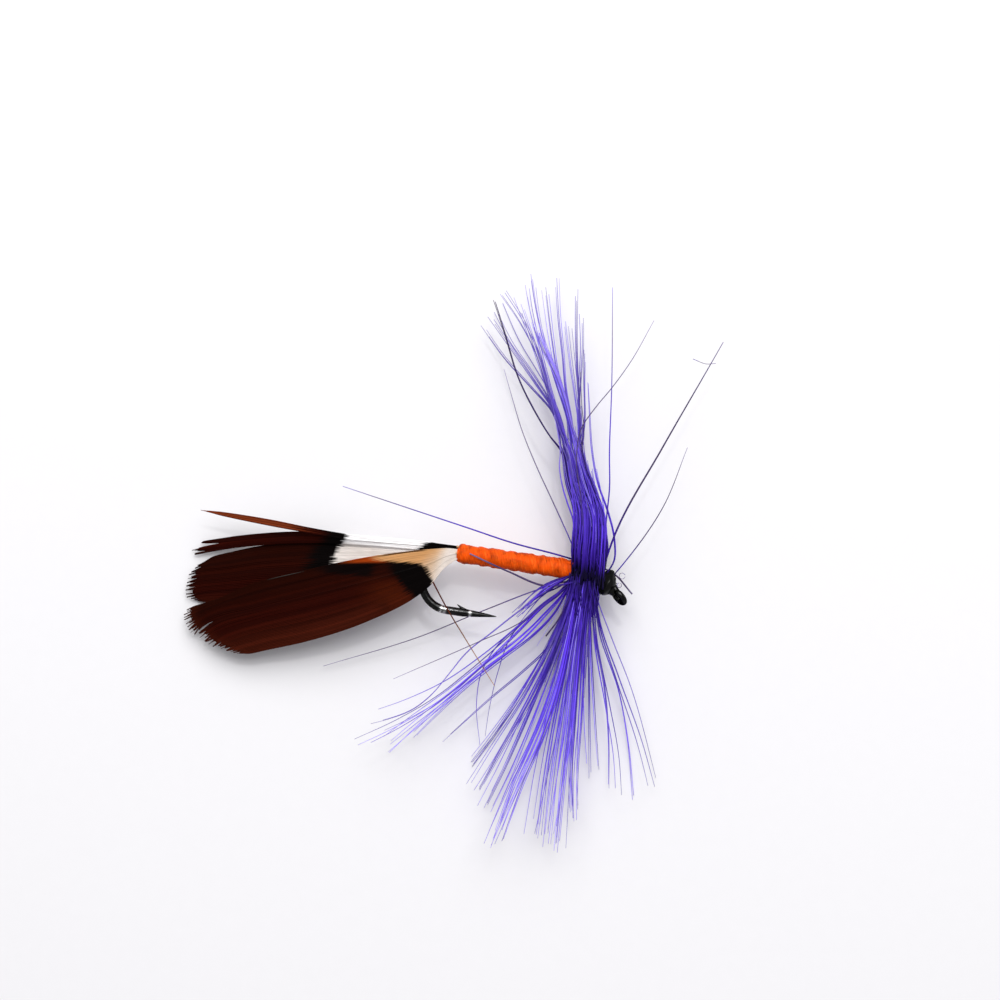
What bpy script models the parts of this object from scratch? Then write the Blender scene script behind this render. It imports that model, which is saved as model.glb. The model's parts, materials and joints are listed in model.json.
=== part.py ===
"""A dry fly: a hook with a floss body, two tail feathers, a wound hackle and a thread head.

The fly lies on its side on a table, whose top is Z = 0. The hook's plane is level. +X points
toward the eye, +Y toward the fly's back, and +Z up. Dimensions are millimetres, and MM turns
them into Blender's metres.

Each piece is drawn in the fly's own frame: u runs along the shank toward the eye, v across it
toward the fly's back, and w up. Its origin is the middle of the hackle, on the shank's axis.
"""

import math
import random

import bmesh
import bpy
from mathutils import Matrix, Vector

MM = 0.001

# The fly's frame on the table
SHANK_TILT = math.radians(-8.25)
COLLAR_X = 10.73
COLLAR_Y = -0.71
SHANK_HEIGHT = 3.6

# Hook
WIRE_R = 0.30
EYE_WIRE_R = 0.24
EYE_R = 0.55
EYE_SLOPE = math.radians(-42.0)
EYE_TWIST = math.radians(20.0)
EYE_CENTRE = (2.98, -1.55)
BEND_U = -10.79
BEND_R = 2.37
POINT_U = -6.76
POINT_TAPER = 2.1
BARB_TIP = (-10.06, -4.16)
BARB_ROOT_U = -9.25

# Thread, floss and hackle stem, all wound round the shank
UNDERBODY_R = 0.37
UNDERBODY_INNER_R = 0.33
BUTT_RING_R = 0.52
BUTT_R = 0.10
LASHING_INNER_R = 0.645
LASHING_R = 0.70
FLOSS_INNER_R = 0.725
FLOSS_REAR_R = 0.85
FLOSS_FRONT_R = 0.785
FLOSS_START_U = -10.63
FLOSS_END_U = -1.15
FLOSS_WRAPS = 9
STEM_R = 0.075
STEM_COIL_R = 0.47
STEM_TURNS = 5

# Head
HEAD_CENTRE = (1.76, -0.60)
HEAD_HALF = (0.80, 1.12, 0.92)
HEAD_TILT = math.radians(18.0)
CEMENT_GAP = 0.025
CEMENT_T = 0.05

# Tail
TAIL_PIVOT_U = -10.85
QUILL_START_U = -10.97
VANE_T = 0.16
QUILL_GAP = 0.05
LEVEL_UNTIL_U = -13.9
TAIL_TIP_U = -32.0
QUILL_R = 0.13
QUILL_TIP_R = 0.06
QUILL_CELLS = 12
STRAND_CELLS = 10

# Hackle
BARB_R = 0.065
BARB_TIP_R = 0.025
BARB_STEPS = 6
BARBS_PER_TUFT = 5
TUFT_ROOT_R = 0.17

random.seed(11)

COLOURS = {
    "hook_metal": ((0.03, 0.028, 0.03), 0.28, 0.9),
    "black_thread": ((0.012, 0.011, 0.014), 0.55, 0.0),
    "orange_floss": ((0.85, 0.16, 0.01), 0.45, 0.0),
    "tail_feather": ((0.11, 0.022, 0.006), 0.6, 0.0),
    "feather_quill": ((0.22, 0.09, 0.03), 0.5, 0.0),
    "violet_hackle": ((0.10, 0.045, 0.5), 0.45, 0.0),
    "head_cement": ((0.02, 0.018, 0.02), 0.12, 0.0),
}


def start_scene():
    """Empties the scene and makes the two collections and the fly's frame."""
    for old in list(bpy.data.objects):
        bpy.data.objects.remove(old, do_unlink=True)
    for title in ("dry_fly", "cutters"):
        group = bpy.data.collections.new(title)
        bpy.context.scene.collection.children.link(group)
    frame = bpy.data.objects.new("fly_frame", None)
    frame.location = Vector((COLLAR_X, COLLAR_Y, SHANK_HEIGHT)) * MM
    frame.rotation_euler = (0.0, 0.0, SHANK_TILT)
    bpy.data.collections["dry_fly"].objects.link(frame)


def material(title):
    """The named Principled material, made the first time it is asked for."""
    if title in bpy.data.materials:
        return bpy.data.materials[title]
    colour, roughness, metallic = COLOURS[title]
    made = bpy.data.materials.new(title)
    made.use_nodes = True
    made.diffuse_color = (*colour, 1.0)
    shader = made.node_tree.nodes["Principled BSDF"]
    shader.inputs["Base Color"].default_value = (*colour, 1.0)
    shader.inputs["Roughness"].default_value = roughness
    shader.inputs["Metallic"].default_value = metallic
    return made


def pivot(title, u, v=0.0, w=0.0):
    """An empty on a joint's axis, which the pieces of that moving body hang from."""
    empty = bpy.data.objects.new(title, None)
    empty.parent = bpy.data.objects["fly_frame"]
    empty.location = Vector((u, v, w)) * MM
    bpy.data.collections["dry_fly"].objects.link(empty)
    return empty


def add(name, mesh, finish, hung_from=None, smooth=True):
    """Puts a mesh drawn in the fly's frame into the scene, hung from a pivot if it moves."""
    piece = bpy.data.objects.new(name, mesh)
    piece.parent = hung_from or bpy.data.objects["fly_frame"]
    if hung_from:
        mesh.transform(Matrix.Translation(-hung_from.location))
    mesh.materials.clear()
    mesh.materials.append(material(finish))
    if smooth:
        mesh.shade_smooth()
        mesh.set_sharp_from_angle(angle=math.radians(50.0))
    bpy.data.collections["dry_fly"].objects.link(piece)
    return piece


def helper(name, mesh):
    """A cutter or a guide, which is not a piece of the fly."""
    guide = bpy.data.objects.new(name, mesh)
    guide.parent = bpy.data.objects["fly_frame"]
    guide.hide_render = True
    guide.display_type = "WIRE"
    bpy.data.collections["cutters"].objects.link(guide)
    return guide


def combine(piece, other, operation):
    """Joins or cuts a piece with another object, which is left as a guide."""
    step = piece.modifiers.new(operation.lower(), "BOOLEAN")
    step.operation = operation
    step.solver = "EXACT"
    step.object = other


def tube_mesh(points, radii, sides=6):
    """A closed tube along a path. Points are (u, v, w) and radii are millimetres."""
    curve = bpy.data.curves.new("path", "CURVE")
    curve.dimensions = "3D"
    curve.bevel_depth = MM
    curve.bevel_resolution = (sides - 4) // 2
    curve.use_fill_caps = True
    spline = curve.splines.new("POLY")
    spline.points.add(len(points) - 1)
    for target, point, radius in zip(spline.points, points, radii):
        target.co = (*(Vector(point) * MM), 1.0)
        target.radius = radius
    wire = bpy.data.objects.new("path", curve)
    bpy.context.scene.collection.objects.link(wire)
    evaluated = wire.evaluated_get(bpy.context.evaluated_depsgraph_get())
    mesh = bpy.data.meshes.new_from_object(evaluated)
    bpy.data.objects.remove(wire)
    bpy.data.curves.remove(curve)
    shape = bmesh.new()
    shape.from_mesh(mesh)
    bmesh.ops.remove_doubles(shape, verts=shape.verts, dist=0.0002 * MM)
    shape.to_mesh(mesh)
    shape.free()
    return mesh


def turned(name, outline, finish, steps=20):
    """A sleeve round the shank, from a closed outline of (u, radius) points.

    The outline runs along the outer side from the eye end to the tail end, then back inside.
    """
    mesh = bpy.data.meshes.new(name)
    corners = [(radius * MM, 0.0, u * MM) for u, radius in outline]
    edges = [(i, (i + 1) % len(corners)) for i in range(len(corners))]
    mesh.from_pydata(corners, edges, [])
    sleeve = add(name, mesh, finish, smooth=False)
    sleeve.rotation_euler = (0.0, math.radians(90.0), 0.0)
    screw = sleeve.modifiers.new("turn", "SCREW")
    screw.axis = "Z"
    screw.angle = math.tau
    screw.steps = steps
    screw.render_steps = steps
    screw.use_merge_vertices = True
    screw.merge_threshold = 0.001 * MM
    screw.use_smooth_shade = True
    return sleeve


def smooth_path(knots, steps):
    """A Catmull-Rom path through the knots, with this many steps between each two."""
    knots = [Vector(k) for k in knots]
    ends = [2 * knots[0] - knots[1], *knots, 2 * knots[-1] - knots[-2]]
    path = []
    for before, a, b, after in zip(ends, ends[1:], ends[2:], ends[3:]):
        for i in range(steps):
            t = i / steps
            bow = 2 * a + (b - before) * t
            bow += (2 * before - 5 * a + 4 * b - after) * t * t
            bow += (3 * a - before - 3 * b + after) * t * t * t
            path.append(bow * 0.5)
    path.append(knots[-1])
    return path


def along(margin, fraction):
    """The point this fraction of the way along a line of (u, v) points."""
    points = [Vector(p) for p in margin]
    lengths = [(b - a).length for a, b in zip(points, points[1:])]
    left = fraction * sum(lengths)
    for a, b, length in zip(points, points[1:], lengths):
        if left <= length:
            return a.lerp(b, left / length)
        left -= length
    return points[-1]


def ease(value):
    """A smooth step from 0 to 1."""
    value = min(max(value, 0.0), 1.0)
    return value * value * (3.0 - 2.0 * value)


# ---- The hook -------------------------------------------------------------------------------


def eye_axes():
    """Unit directions of the eye: outward along its wire, and across the ring."""
    out = Vector((math.cos(EYE_SLOPE), math.sin(EYE_SLOPE), 0.0))
    side = Vector((-out.y, out.x, 0.0)) * math.sin(EYE_TWIST)
    side.z = math.cos(EYE_TWIST)
    return out, side


def neck_path():
    """The wire between the straight shank and the ring of the eye, inside the head."""
    knots = [(0.6, 0.0, 0.0), (1.3, -0.05, 0.0), (1.85, -0.30, 0.0)]
    knots += [(2.24, -0.70, 0.02), (2.50, -1.0, 0.12)]
    return smooth_path(knots, 3)


def hook_path():
    """The wire's centreline from the eye to the point, with the radius at each place."""
    out, side = eye_axes()
    centre = Vector((*EYE_CENTRE, 0.0))
    path = []
    for i in range(19):
        turn = math.radians(308.0 - 268.0 * i / 18)
        ring = centre + (side * math.sin(turn) - out * math.cos(turn)) * EYE_R
        path.append((ring, EYE_WIRE_R))
    for i, point in enumerate(reversed(neck_path())):
        path.append((point, EYE_WIRE_R + (WIRE_R - EYE_WIRE_R) * ease(i / 10)))
    path.append((Vector((-5.0, 0.0, 0.0)), WIRE_R))
    for i in range(17):
        turn = math.pi * i / 16
        bend = Vector((BEND_U - BEND_R * math.sin(turn), -BEND_R * (1.0 - math.cos(turn)), 0.0))
        path.append((bend, WIRE_R))
    spear_v = -2.0 * BEND_R
    for i in range(7):
        left = 1.0 - i / 6
        place = Vector((POINT_U - POINT_TAPER * left, spear_v + 0.06 * (1.0 - left), 0.0))
        path.append((place, 0.02 + (WIRE_R - 0.02) * left**0.7))
    return path


def make_hook():
    """One bent wire with a ring eye, a round bend, a needle point and a raised barb."""
    path = hook_path()
    wire = add("hook", tube_mesh([p for p, _ in path], [r for _, r in path], 10), "hook_metal")
    barb_root_v = -2.0 * BEND_R + 0.05
    middle = ((BARB_TIP[0] + BARB_ROOT_U) / 2.0, BARB_TIP[1] - 0.16, 0.0)
    knots = [(*BARB_TIP, 0.0), middle, (BARB_ROOT_U, barb_root_v, 0.0)]
    barb = helper("hook_barb_guide", tube_mesh(knots, [0.02, 0.11, 0.16], 6))
    combine(wire, barb, "UNION")


# ---- Thread, floss and hackle stem ------------------------------------------------------------


def make_underbody():
    """Thread laid along the shank under everything else."""
    rear, front = BEND_U + 0.12, 0.85
    outline = [(front, UNDERBODY_R), (rear, UNDERBODY_R)]
    outline += [(rear, UNDERBODY_INNER_R), (front, UNDERBODY_INNER_R)]
    turned("thread_underbody", outline, "black_thread", 16)


def make_tail_lashing():
    """Turns of thread that bind the three feather butts to the shank."""
    front, rear, turns = -8.6, -10.3, 5
    outline = []
    for i in range(2 * turns + 1):
        u = front + (rear - front) * i / (2 * turns)
        outline.append((u, LASHING_R - 0.02 * (1 - i % 2)))
    outline += [(rear, LASHING_INNER_R), (front, LASHING_INNER_R)]
    turned("tail_lashing_thread", outline, "black_thread", 16)


def make_floss():
    """The body: a single layer of floss whose turns show as low swellings."""
    outline = []
    steps = 4 * FLOSS_WRAPS
    for i in range(steps + 1):
        part = i / steps
        u = FLOSS_END_U + (FLOSS_START_U - FLOSS_END_U) * part
        radius = FLOSS_FRONT_R + (FLOSS_REAR_R - FLOSS_FRONT_R) * part
        shoulder = min(part, 1.0 - part) * 16.0
        radius -= 0.05 * (1.0 - ease(shoulder))
        outline.append((u, radius + 0.014 * math.sin(math.tau * i / 4.0)))
    outline += [(FLOSS_START_U, FLOSS_INNER_R), (FLOSS_END_U, FLOSS_INNER_R)]
    turned("floss_body", outline, "orange_floss", 20)


def make_hackle_tie():
    """Thread turns that hold the start of the hackle stem, just in front of the floss."""
    front, rear = -0.86, -1.10
    outline = [(front, 0.52), ((front + rear) / 2.0, 0.60), (rear, 0.52)]
    outline += [(rear, UNDERBODY_R + 0.03), (front, UNDERBODY_R + 0.03)]
    turned("hackle_tie_thread", outline, "black_thread", 16)


def stem_butt_path():
    """The cut end of the stem: under the head's thread, then out over the eye."""
    return [(0.95, 0.44, 0.0), (1.55, 0.42, 0.0), (2.05, 0.26, 0.0), (4.0, -1.27, 0.0)]


def make_hackle_stem():
    """The hackle feather's stem, wound round the shank with its cut butt left standing."""
    steps = 10 * STEM_TURNS
    points = []
    for i in range(steps + 1):
        turn = math.pi / 2.0 - math.tau * STEM_TURNS * (1.0 - i / steps)
        u = -0.74 + 1.36 * i / steps
        points.append((u, STEM_COIL_R * math.sin(turn), STEM_COIL_R * math.cos(turn)))
    points += stem_butt_path()
    radii = [STEM_R] * len(points)
    add("hackle_stem", tube_mesh(points, radii, 6), "violet_hackle")


# ---- The head ---------------------------------------------------------------------------------


def head_ball(extra, segments, rings):
    """The head's rounded form, grown by extra, as a bmesh in the fly's frame."""
    shape = bmesh.new()
    bmesh.ops.create_uvsphere(shape, u_segments=segments, v_segments=rings, radius=1.0)
    half = [side + extra for side in HEAD_HALF]
    for vertex in shape.verts:
        along_axis, across, up = vertex.co.z, vertex.co.x, vertex.co.y
        along_axis *= half[0]
        across *= half[1]
        u = along_axis * math.cos(HEAD_TILT) + across * math.sin(HEAD_TILT)
        v = across * math.cos(HEAD_TILT) - along_axis * math.sin(HEAD_TILT)
        vertex.co = Vector((HEAD_CENTRE[0] + u, HEAD_CENTRE[1] + v, up * half[2])) * MM
    bmesh.ops.recalc_face_normals(shape, faces=shape.faces)
    return shape


def head_bores():
    """The wire and the stem's butt, a little fatter, which pass through the head."""
    out, side = eye_axes()
    neck = neck_path()
    beyond = neck[-1] + (neck[-1] - neck[-2]).normalized() * 0.9
    wire = [Vector((-0.6, 0.0, 0.0)), *neck, beyond]
    return [
        helper("head_wire_bore", tube_mesh(wire, [WIRE_R + 0.03] * len(wire), 10)),
        helper("head_stem_bore", tube_mesh([(0.3, 0.44, 0.0), *stem_butt_path()], [0.105] * 5, 8)),
    ]


def make_head():
    """The thread head, wound over the wire's bent neck and the stem's butt."""
    shape = head_ball(0.0, 20, 12)
    mesh = bpy.data.meshes.new("head_thread")
    shape.to_mesh(mesh)
    shape.free()
    head = add("head_thread", mesh, "black_thread")
    for bore in head_bores():
        combine(head, bore, "DIFFERENCE")


def make_cement():
    """The drop of cement: a thin shell over the head's front, open where the wire leaves."""
    shape = head_ball(CEMENT_GAP + CEMENT_T, 20, 12)
    centre = Vector((*HEAD_CENTRE, 0.0))
    axis = Vector((math.cos(HEAD_TILT), -math.sin(HEAD_TILT), 0.0))
    exits = [Vector((2.52, -1.06, 0.13)), Vector((2.12, 0.20, 0.0))]
    clearances = [0.62, 0.33]
    unwanted = []
    for face in shape.faces:
        place = face.calc_center_median() / MM
        behind = (place - centre).dot(axis) < 0.1
        near_exit = any((place - e).length < c for e, c in zip(exits, clearances))
        if behind or near_exit:
            unwanted.append(face)
    bmesh.ops.delete(shape, geom=unwanted, context="FACES")
    mesh = bpy.data.meshes.new("head_cement")
    shape.to_mesh(mesh)
    shape.free()
    cement = add("head_cement", mesh, "head_cement")
    shell = cement.modifiers.new("thickness", "SOLIDIFY")
    shell.thickness = CEMENT_T * MM
    shell.offset = -1.0


# ---- The tail ---------------------------------------------------------------------------------

# Margins and quills are (u, v) points from the tie-in to the tip. Heights are w at each end.
FRONT_FEATHER = {
    "quill": [(QUILL_START_U, -0.15), (-15.0, -1.7), (-20.4, -4.6), (-25.9, -7.1), (-30.3, -8.6)],
    "top": [(QUILL_START_U, 0.32), (-14.0, -0.3), (-17.8, -1.4), (-25.1, -4.0), (-30.6, -7.3)],
    "low": [
        (QUILL_START_U, -0.85),
        (-12.1, -2.4),
        (-12.9, -3.6),
        (-17.0, -6.5),
        (-20.7, -8.4),
        (-25.7, -10.4),
        (-28.9, -10.5),
    ],
    "heights": (0.62, -2.35),
    "cup": 0.35,
    "bulge": 1.15,
}
REAR_FEATHER = {
    "quill": [(QUILL_START_U, -0.05), (-15.0, -1.0), (-19.7, -2.0), (-26.3, -4.4), (-31.4, -6.0)],
    "top": [(QUILL_START_U, 0.42), (-15.4, 0.2), (-19.9, -0.5), (-26.9, -2.2), (-31.4, -4.1)],
    "low": [(QUILL_START_U, -0.7), (-15.0, -2.5), (-20.4, -5.2), (-25.9, -7.2), (-31.5, -7.2)],
    "heights": (-0.62, -3.05),
    "cup": 0.35,
    "bulge": 0.35,
}
STRAND_TOP = [(-15.4, 0.5), (-19.9, 0.2), (-23.6, -0.2), (-28.8, -1.5), (-31.3, -2.1)]
STRAND_LOW = [(-15.4, 0.32), (-19.9, -0.36), (-24.2, -1.3), (-27.4, -2.1), (-31.9, -3.1)]
SLIP_TOP = [(QUILL_START_U, 0.75), (-15.4, 0.62), (-19.9, 0.42), (-23.6, 0.3), (-31.2, 0.42)]
SLIP_LOW = [(QUILL_START_U, 0.45), (-12.6, 0.2), (-15.4, -0.1), (-19.9, -0.1), (-31.0, 0.22)]


def tail_height(u, heights):
    """How high a tail piece lies at u: level past the bend, then drooping to the table."""
    root, tip = heights
    droop = (LEVEL_UNTIL_U - u) / (LEVEL_UNTIL_U - TAIL_TIP_U)
    return root + (tip - root) * ease(droop * 0.75) / ease(0.75)


def resample(line, cells):
    """Equally spaced points along a line of (u, v) points."""
    return [along(line, i / cells) for i in range(cells + 1)]


def sheet(name, margin, inner, heights, hung_from, cup=0.0, bulge=0.0, rows=3):
    """A thin vane between a free margin and an inner line, thickened by Solidify.

    margin and inner hold the same number of points, from the tie-in to the tip.
    """
    cells = len(inner) - 1
    shape = bmesh.new()
    bmesh.ops.create_grid(shape, x_segments=cells, y_segments=rows, size=1.0)
    for vertex in shape.verts:
        part = (vertex.co.x + 1.0) / 2.0
        out = (vertex.co.y + 1.0) / 2.0
        station = round(part * cells)
        place = inner[station].lerp(margin[station], out)
        w = tail_height(place.x, heights) - cup * out * out * ease(part * 1.4)
        tip_push = bulge * part**8 * math.cos(out * math.pi / 2.0)
        vertex.co = Vector((place.x - tip_push, place.y, w)) * MM
    bmesh.ops.recalc_face_normals(shape, faces=shape.faces)
    mesh = bpy.data.meshes.new(name)
    shape.to_mesh(mesh)
    shape.free()
    vane = add(name, mesh, "tail_feather", hung_from)
    shell = vane.modifiers.new("thickness", "SOLIDIFY")
    shell.thickness = VANE_T * MM
    shell.offset = 0.0


def make_feather(side, spec, hung_from):
    """A quill with a vane on each side of it."""
    line = resample(spec["quill"], QUILL_CELLS)
    sizes = []
    for i in range(QUILL_CELLS + 1):
        sizes.append(QUILL_R + (QUILL_TIP_R - QUILL_R) * i / QUILL_CELLS)
    points = [(p.x, p.y, tail_height(p.x, spec["heights"])) for p in line]
    add(f"{side}_feather_quill", tube_mesh(points, sizes, 6), "feather_quill", hung_from)
    for half, sign, margin in (("upper", 1.0, spec["top"]), ("lower", -1.0, spec["low"])):
        inner = []
        for i, place in enumerate(line):
            ahead = line[min(i + 1, QUILL_CELLS)] - line[max(i - 1, 0)]
            across = Vector((ahead.y, -ahead.x)).normalized() * sign
            inner.append(place + across * (sizes[i] + QUILL_GAP))
        look = (spec["heights"], hung_from, spec["cup"], spec["bulge"])
        sheet(f"{side}_vane_{half}", resample(margin, QUILL_CELLS), inner, *look)


def make_butts():
    """The feathers' butts, lashed to the shank under the floss."""
    for name, turn in (("front", 0.0), ("rear", 180.0), ("top_slip", 90.0)):
        v = BUTT_RING_R * math.sin(math.radians(turn))
        w = BUTT_RING_R * math.cos(math.radians(turn))
        ends = [(-10.74, v, w), (-8.2, v, w)]
        add(f"{name}_feather_butt", tube_mesh(ends, [BUTT_R, BUTT_R * 0.8], 6), "feather_quill")


def make_tail():
    """Two whole feathers, a separate strand, a narrow slip on top and one loose barb."""
    front = pivot("front_feather_pivot", TAIL_PIVOT_U)
    rear = pivot("rear_feather_pivot", TAIL_PIVOT_U)
    slip = pivot("top_slip_pivot", TAIL_PIVOT_U)
    make_butts()
    make_feather("front", FRONT_FEATHER, front)
    make_feather("rear", REAR_FEATHER, rear)
    strand = (resample(STRAND_TOP, STRAND_CELLS), resample(STRAND_LOW, STRAND_CELLS))
    sheet("rear_split_strand", *strand, (-0.75, -3.15), rear, rows=1)
    strip = (resample(SLIP_TOP, QUILL_CELLS), resample(SLIP_LOW, QUILL_CELLS))
    sheet("top_slip", *strip, (0.0, -1.0), slip, rows=1)
    knots = [(-12.15, -2.45, 0.88), (-11.2, -3.3, 0.98), (-9.9, -4.8, 0.95), (-6.1, -10.2, 0.2)]
    path = smooth_path(knots, 3)
    sizes = [0.07 - 0.04 * i / (len(path) - 1) for i in range(len(path))]
    add("loose_tail_barb", tube_mesh(path, sizes, 4), "tail_feather", front)


# ---- The hackle -------------------------------------------------------------------------------


def barb_path(root, middle, tip, steps=BARB_STEPS):
    """A barb's curve: it leaves its root, passes the middle point and ends at the tip."""
    root, middle, tip = Vector(root), Vector(middle), Vector(tip)
    handle = 2.0 * middle - (root + tip) / 2.0
    path = []
    for i in range(steps + 1):
        t = i / steps
        path.append(root * (1.0 - t) ** 2 + handle * 2.0 * t * (1.0 - t) + tip * t * t)
    return path


def barb_mesh(path):
    """One tapering barb."""
    last = len(path) - 1
    radii = [BARB_R + (BARB_TIP_R - BARB_R) * i / last for i in range(last + 1)]
    return tube_mesh(path, radii, 4)


def tuft(name, root, spread, hung_from):
    """Barbs that grow from one place on the stem, joined at their roots into one body.

    spread is a list of (middle, tip) points, one pair for each barb.
    """
    shape = bmesh.new()
    bmesh.ops.create_icosphere(shape, subdivisions=1, radius=TUFT_ROOT_R * MM)
    bmesh.ops.translate(shape, verts=shape.verts, vec=Vector(root) * MM)
    mesh = bpy.data.meshes.new(name)
    shape.to_mesh(mesh)
    shape.free()
    piece = add(name, mesh, "violet_hackle", hung_from, smooth=False)
    for number, (middle, tip) in enumerate(spread):
        guide = helper(f"{name}_barb_{number}", barb_mesh(barb_path(root, middle, tip)))
        combine(piece, guide, "UNION")


def polar(radius, degrees, w):
    """A point at this distance and direction from the collar."""
    turn = math.radians(degrees)
    return Vector((radius * math.cos(turn), radius * math.sin(turn), w))


def fan(name, count, roots, waists, tips, hung_from):
    """A row of tufts. Each range is (first, last) for the first and the last barb.

    roots and waists are ((u, v), (u, v)); tips are ((length, degrees), (length, degrees)),
    with the fan's longest barbs in the middle.
    """
    total = count * BARBS_PER_TUFT
    for number in range(count):
        spread = []
        for i in range(BARBS_PER_TUFT):
            part = (number * BARBS_PER_TUFT + i) / (total - 1)
            waist = Vector(waists[0]).lerp(Vector(waists[1]), part)
            length = tips[0][0] + (tips[1][0] - tips[0][0]) * part
            length += tips[2] * math.sin(math.pi * part) + random.uniform(-1.4, 0.0)
            degrees = tips[0][1] + (tips[1][1] - tips[0][1]) * part
            layer = (number * 2 + i * 3) % 5 / 4.0
            tip_w = -SHANK_HEIGHT + BARB_TIP_R + 6.0 * layer
            tip = polar(length, degrees, tip_w)
            middle = (waist.x, waist.y, tip_w * 0.35)
            spread.append((middle, tip))
        part = number / max(count - 1, 1)
        spot = Vector(roots[0]).lerp(Vector(roots[1]), part)
        tuft(f"{name}_{number + 1}", (spot.x, spot.y, 0.35 * (-1) ** number), spread, hung_from)


# Single barbs that stand away from the bunches: root, middle, tip and the body they hang on
STRAYS = {
    "stray_barb_front_long": ((1.75, 1.9, 0.5), (4.4, 9.6, 1.0), (8.31, 19.9, 1.6), None),
    "stray_barb_front_short": ((2.55, 0.95, 0.7), (4.75, 4.9, 1.2), (6.65, 11.0, 1.6), None),
    "stray_barb_back_long": ((-2.6, 1.15, 0.6), (-9.5, 2.07, 1.3), (-20.3, 3.95, 1.6), None),
    "stray_barb_belly_long": ((-2.6, -2.1, -1.1), (-9.3, -5.3, -1.6), (-19.8, -10.5, -2.9), None),
    "stray_barb_upright": ((1.55, 1.7, 0.9), (0.75, 8.8, 1.4), (-1.27, 23.2, 1.8), "upper"),
    "stray_barb_crossing": ((-0.6, 2.1, 1.6), (-0.9, 13.4, 2.4), (2.34, 20.8, 2.6), "upper"),
    "stray_barb_left": ((-1.75, 2.1, 0.3), (-4.6, 7.2, 0.6), (-8.2, 13.9, 0.4), "upper"),
    "stray_barb_belly_short": ((-2.5, -2.4, 1.1), (-7.3, -6.4, 1.2), (-14.2, -10.8, 0.6), "lower"),
}


def make_hackle():
    """The upper bunch, the lower fan, the sparse barbs under the hook and the strays."""
    upper = pivot("upper_hackle_pivot", 0.0)
    lower = pivot("lower_hackle_pivot", 0.0)
    fan(
        "upper_hackle_tuft",
        7,
        roots=((1.15, 1.5), (-1.25, 1.55)),
        waists=((-0.9, 10.4), (-4.1, 9.8)),
        tips=((20.9, 99.0), (21.7, 120.5), 3.5),
        hung_from=upper,
    )
    fan(
        "lower_hackle_tuft",
        9,
        roots=((1.25, -2.25), (-1.7, -2.2)),
        waists=((4.1, -9.8), (-3.6, -9.0)),
        tips=((19.6, -67.0), (18.2, -109.0), 4.0),
        hung_from=lower,
    )
    fan(
        "belly_hackle_tuft",
        3,
        roots=((-2.1, -2.1), (-2.7, -1.6)),
        waists=((-5.0, -8.3), (-7.4, -7.7)),
        tips=((18.2, -115.0), (23.4, -136.5), 0.6),
        hung_from=lower,
    )
    bodies = {None: None, "upper": upper, "lower": lower}
    for name, (root, middle, tip, body) in STRAYS.items():
        path = barb_path(root, middle, tip, 10)
        add(name, barb_mesh(path), "violet_hackle", bodies[body], smooth=False)


def main():
    """Builds the fly."""
    start_scene()
    make_hook()
    make_underbody()
    make_tail_lashing()
    make_floss()
    make_hackle_tie()
    make_hackle_stem()
    make_head()
    make_cement()
    make_tail()
    make_hackle()


main()
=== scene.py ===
"""The looks of a dry fly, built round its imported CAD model.

Every shape is drawn in the fly's own frame, in millimetres: u runs along the shank toward the
eye, v across it toward the fly's back, and w up from the table. The origin is the middle of the
hackle. FLY turns that frame into the row frame, in metres.
"""

import json
import math

import bmesh
import bpy
import numpy as np
from mathutils import Matrix, Vector


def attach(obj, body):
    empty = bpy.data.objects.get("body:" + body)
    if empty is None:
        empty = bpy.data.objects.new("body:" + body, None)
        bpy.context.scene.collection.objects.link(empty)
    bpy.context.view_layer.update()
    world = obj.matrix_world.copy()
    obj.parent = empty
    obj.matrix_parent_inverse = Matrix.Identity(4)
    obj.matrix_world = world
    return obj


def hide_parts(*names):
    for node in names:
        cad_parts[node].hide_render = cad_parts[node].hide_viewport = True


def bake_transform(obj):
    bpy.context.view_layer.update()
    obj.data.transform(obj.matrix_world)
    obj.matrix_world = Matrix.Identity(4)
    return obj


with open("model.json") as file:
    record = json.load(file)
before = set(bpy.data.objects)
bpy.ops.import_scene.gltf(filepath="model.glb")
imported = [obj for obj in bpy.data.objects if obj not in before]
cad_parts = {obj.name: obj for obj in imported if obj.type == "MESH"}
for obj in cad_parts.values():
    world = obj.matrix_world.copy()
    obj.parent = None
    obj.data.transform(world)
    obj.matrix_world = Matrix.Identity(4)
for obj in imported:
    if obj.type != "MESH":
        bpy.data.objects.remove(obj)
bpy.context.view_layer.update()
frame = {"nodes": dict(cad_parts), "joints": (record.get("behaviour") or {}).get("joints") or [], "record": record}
rng = np.random.default_rng(7)

MM = 0.001

# ---- The fly's frame ----

JOINTS = {joint["name"]: joint for joint in frame["joints"]}
COLLAR = Vector(JOINTS["upper_hackle_sweep"]["pos_m"])
TAIL_TIE = Vector(JOINTS["front_feather_flex"]["pos_m"])
ALONG = (COLLAR - TAIL_TIE).normalized()
ACROSS = Vector((-ALONG.y, ALONG.x, 0.0))
UP = Vector((0.0, 0.0, 1.0))
FLY = Matrix.Translation(COLLAR) @ Matrix((ALONG, ACROSS, UP)).transposed().to_4x4()
FLY = FLY @ Matrix.Scale(MM, 4)
TABLE_W = -COLLAR.z / MM


def fly_box(node):
    """The lowest and highest corner of a CAD node in the fly's frame."""
    back = FLY.inverted()
    corners = np.array([back @ vertex.co for vertex in frame["nodes"][node].data.vertices])
    return corners.min(axis=0), corners.max(axis=0)


HOOK_LOW, HOOK_HIGH = fly_box("hook")
FLOSS_LOW, FLOSS_HIGH = fly_box("floss_body")
HEAD_LOW, HEAD_HIGH = fly_box("head_thread")

# ---- Driving dimensions ----

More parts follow.
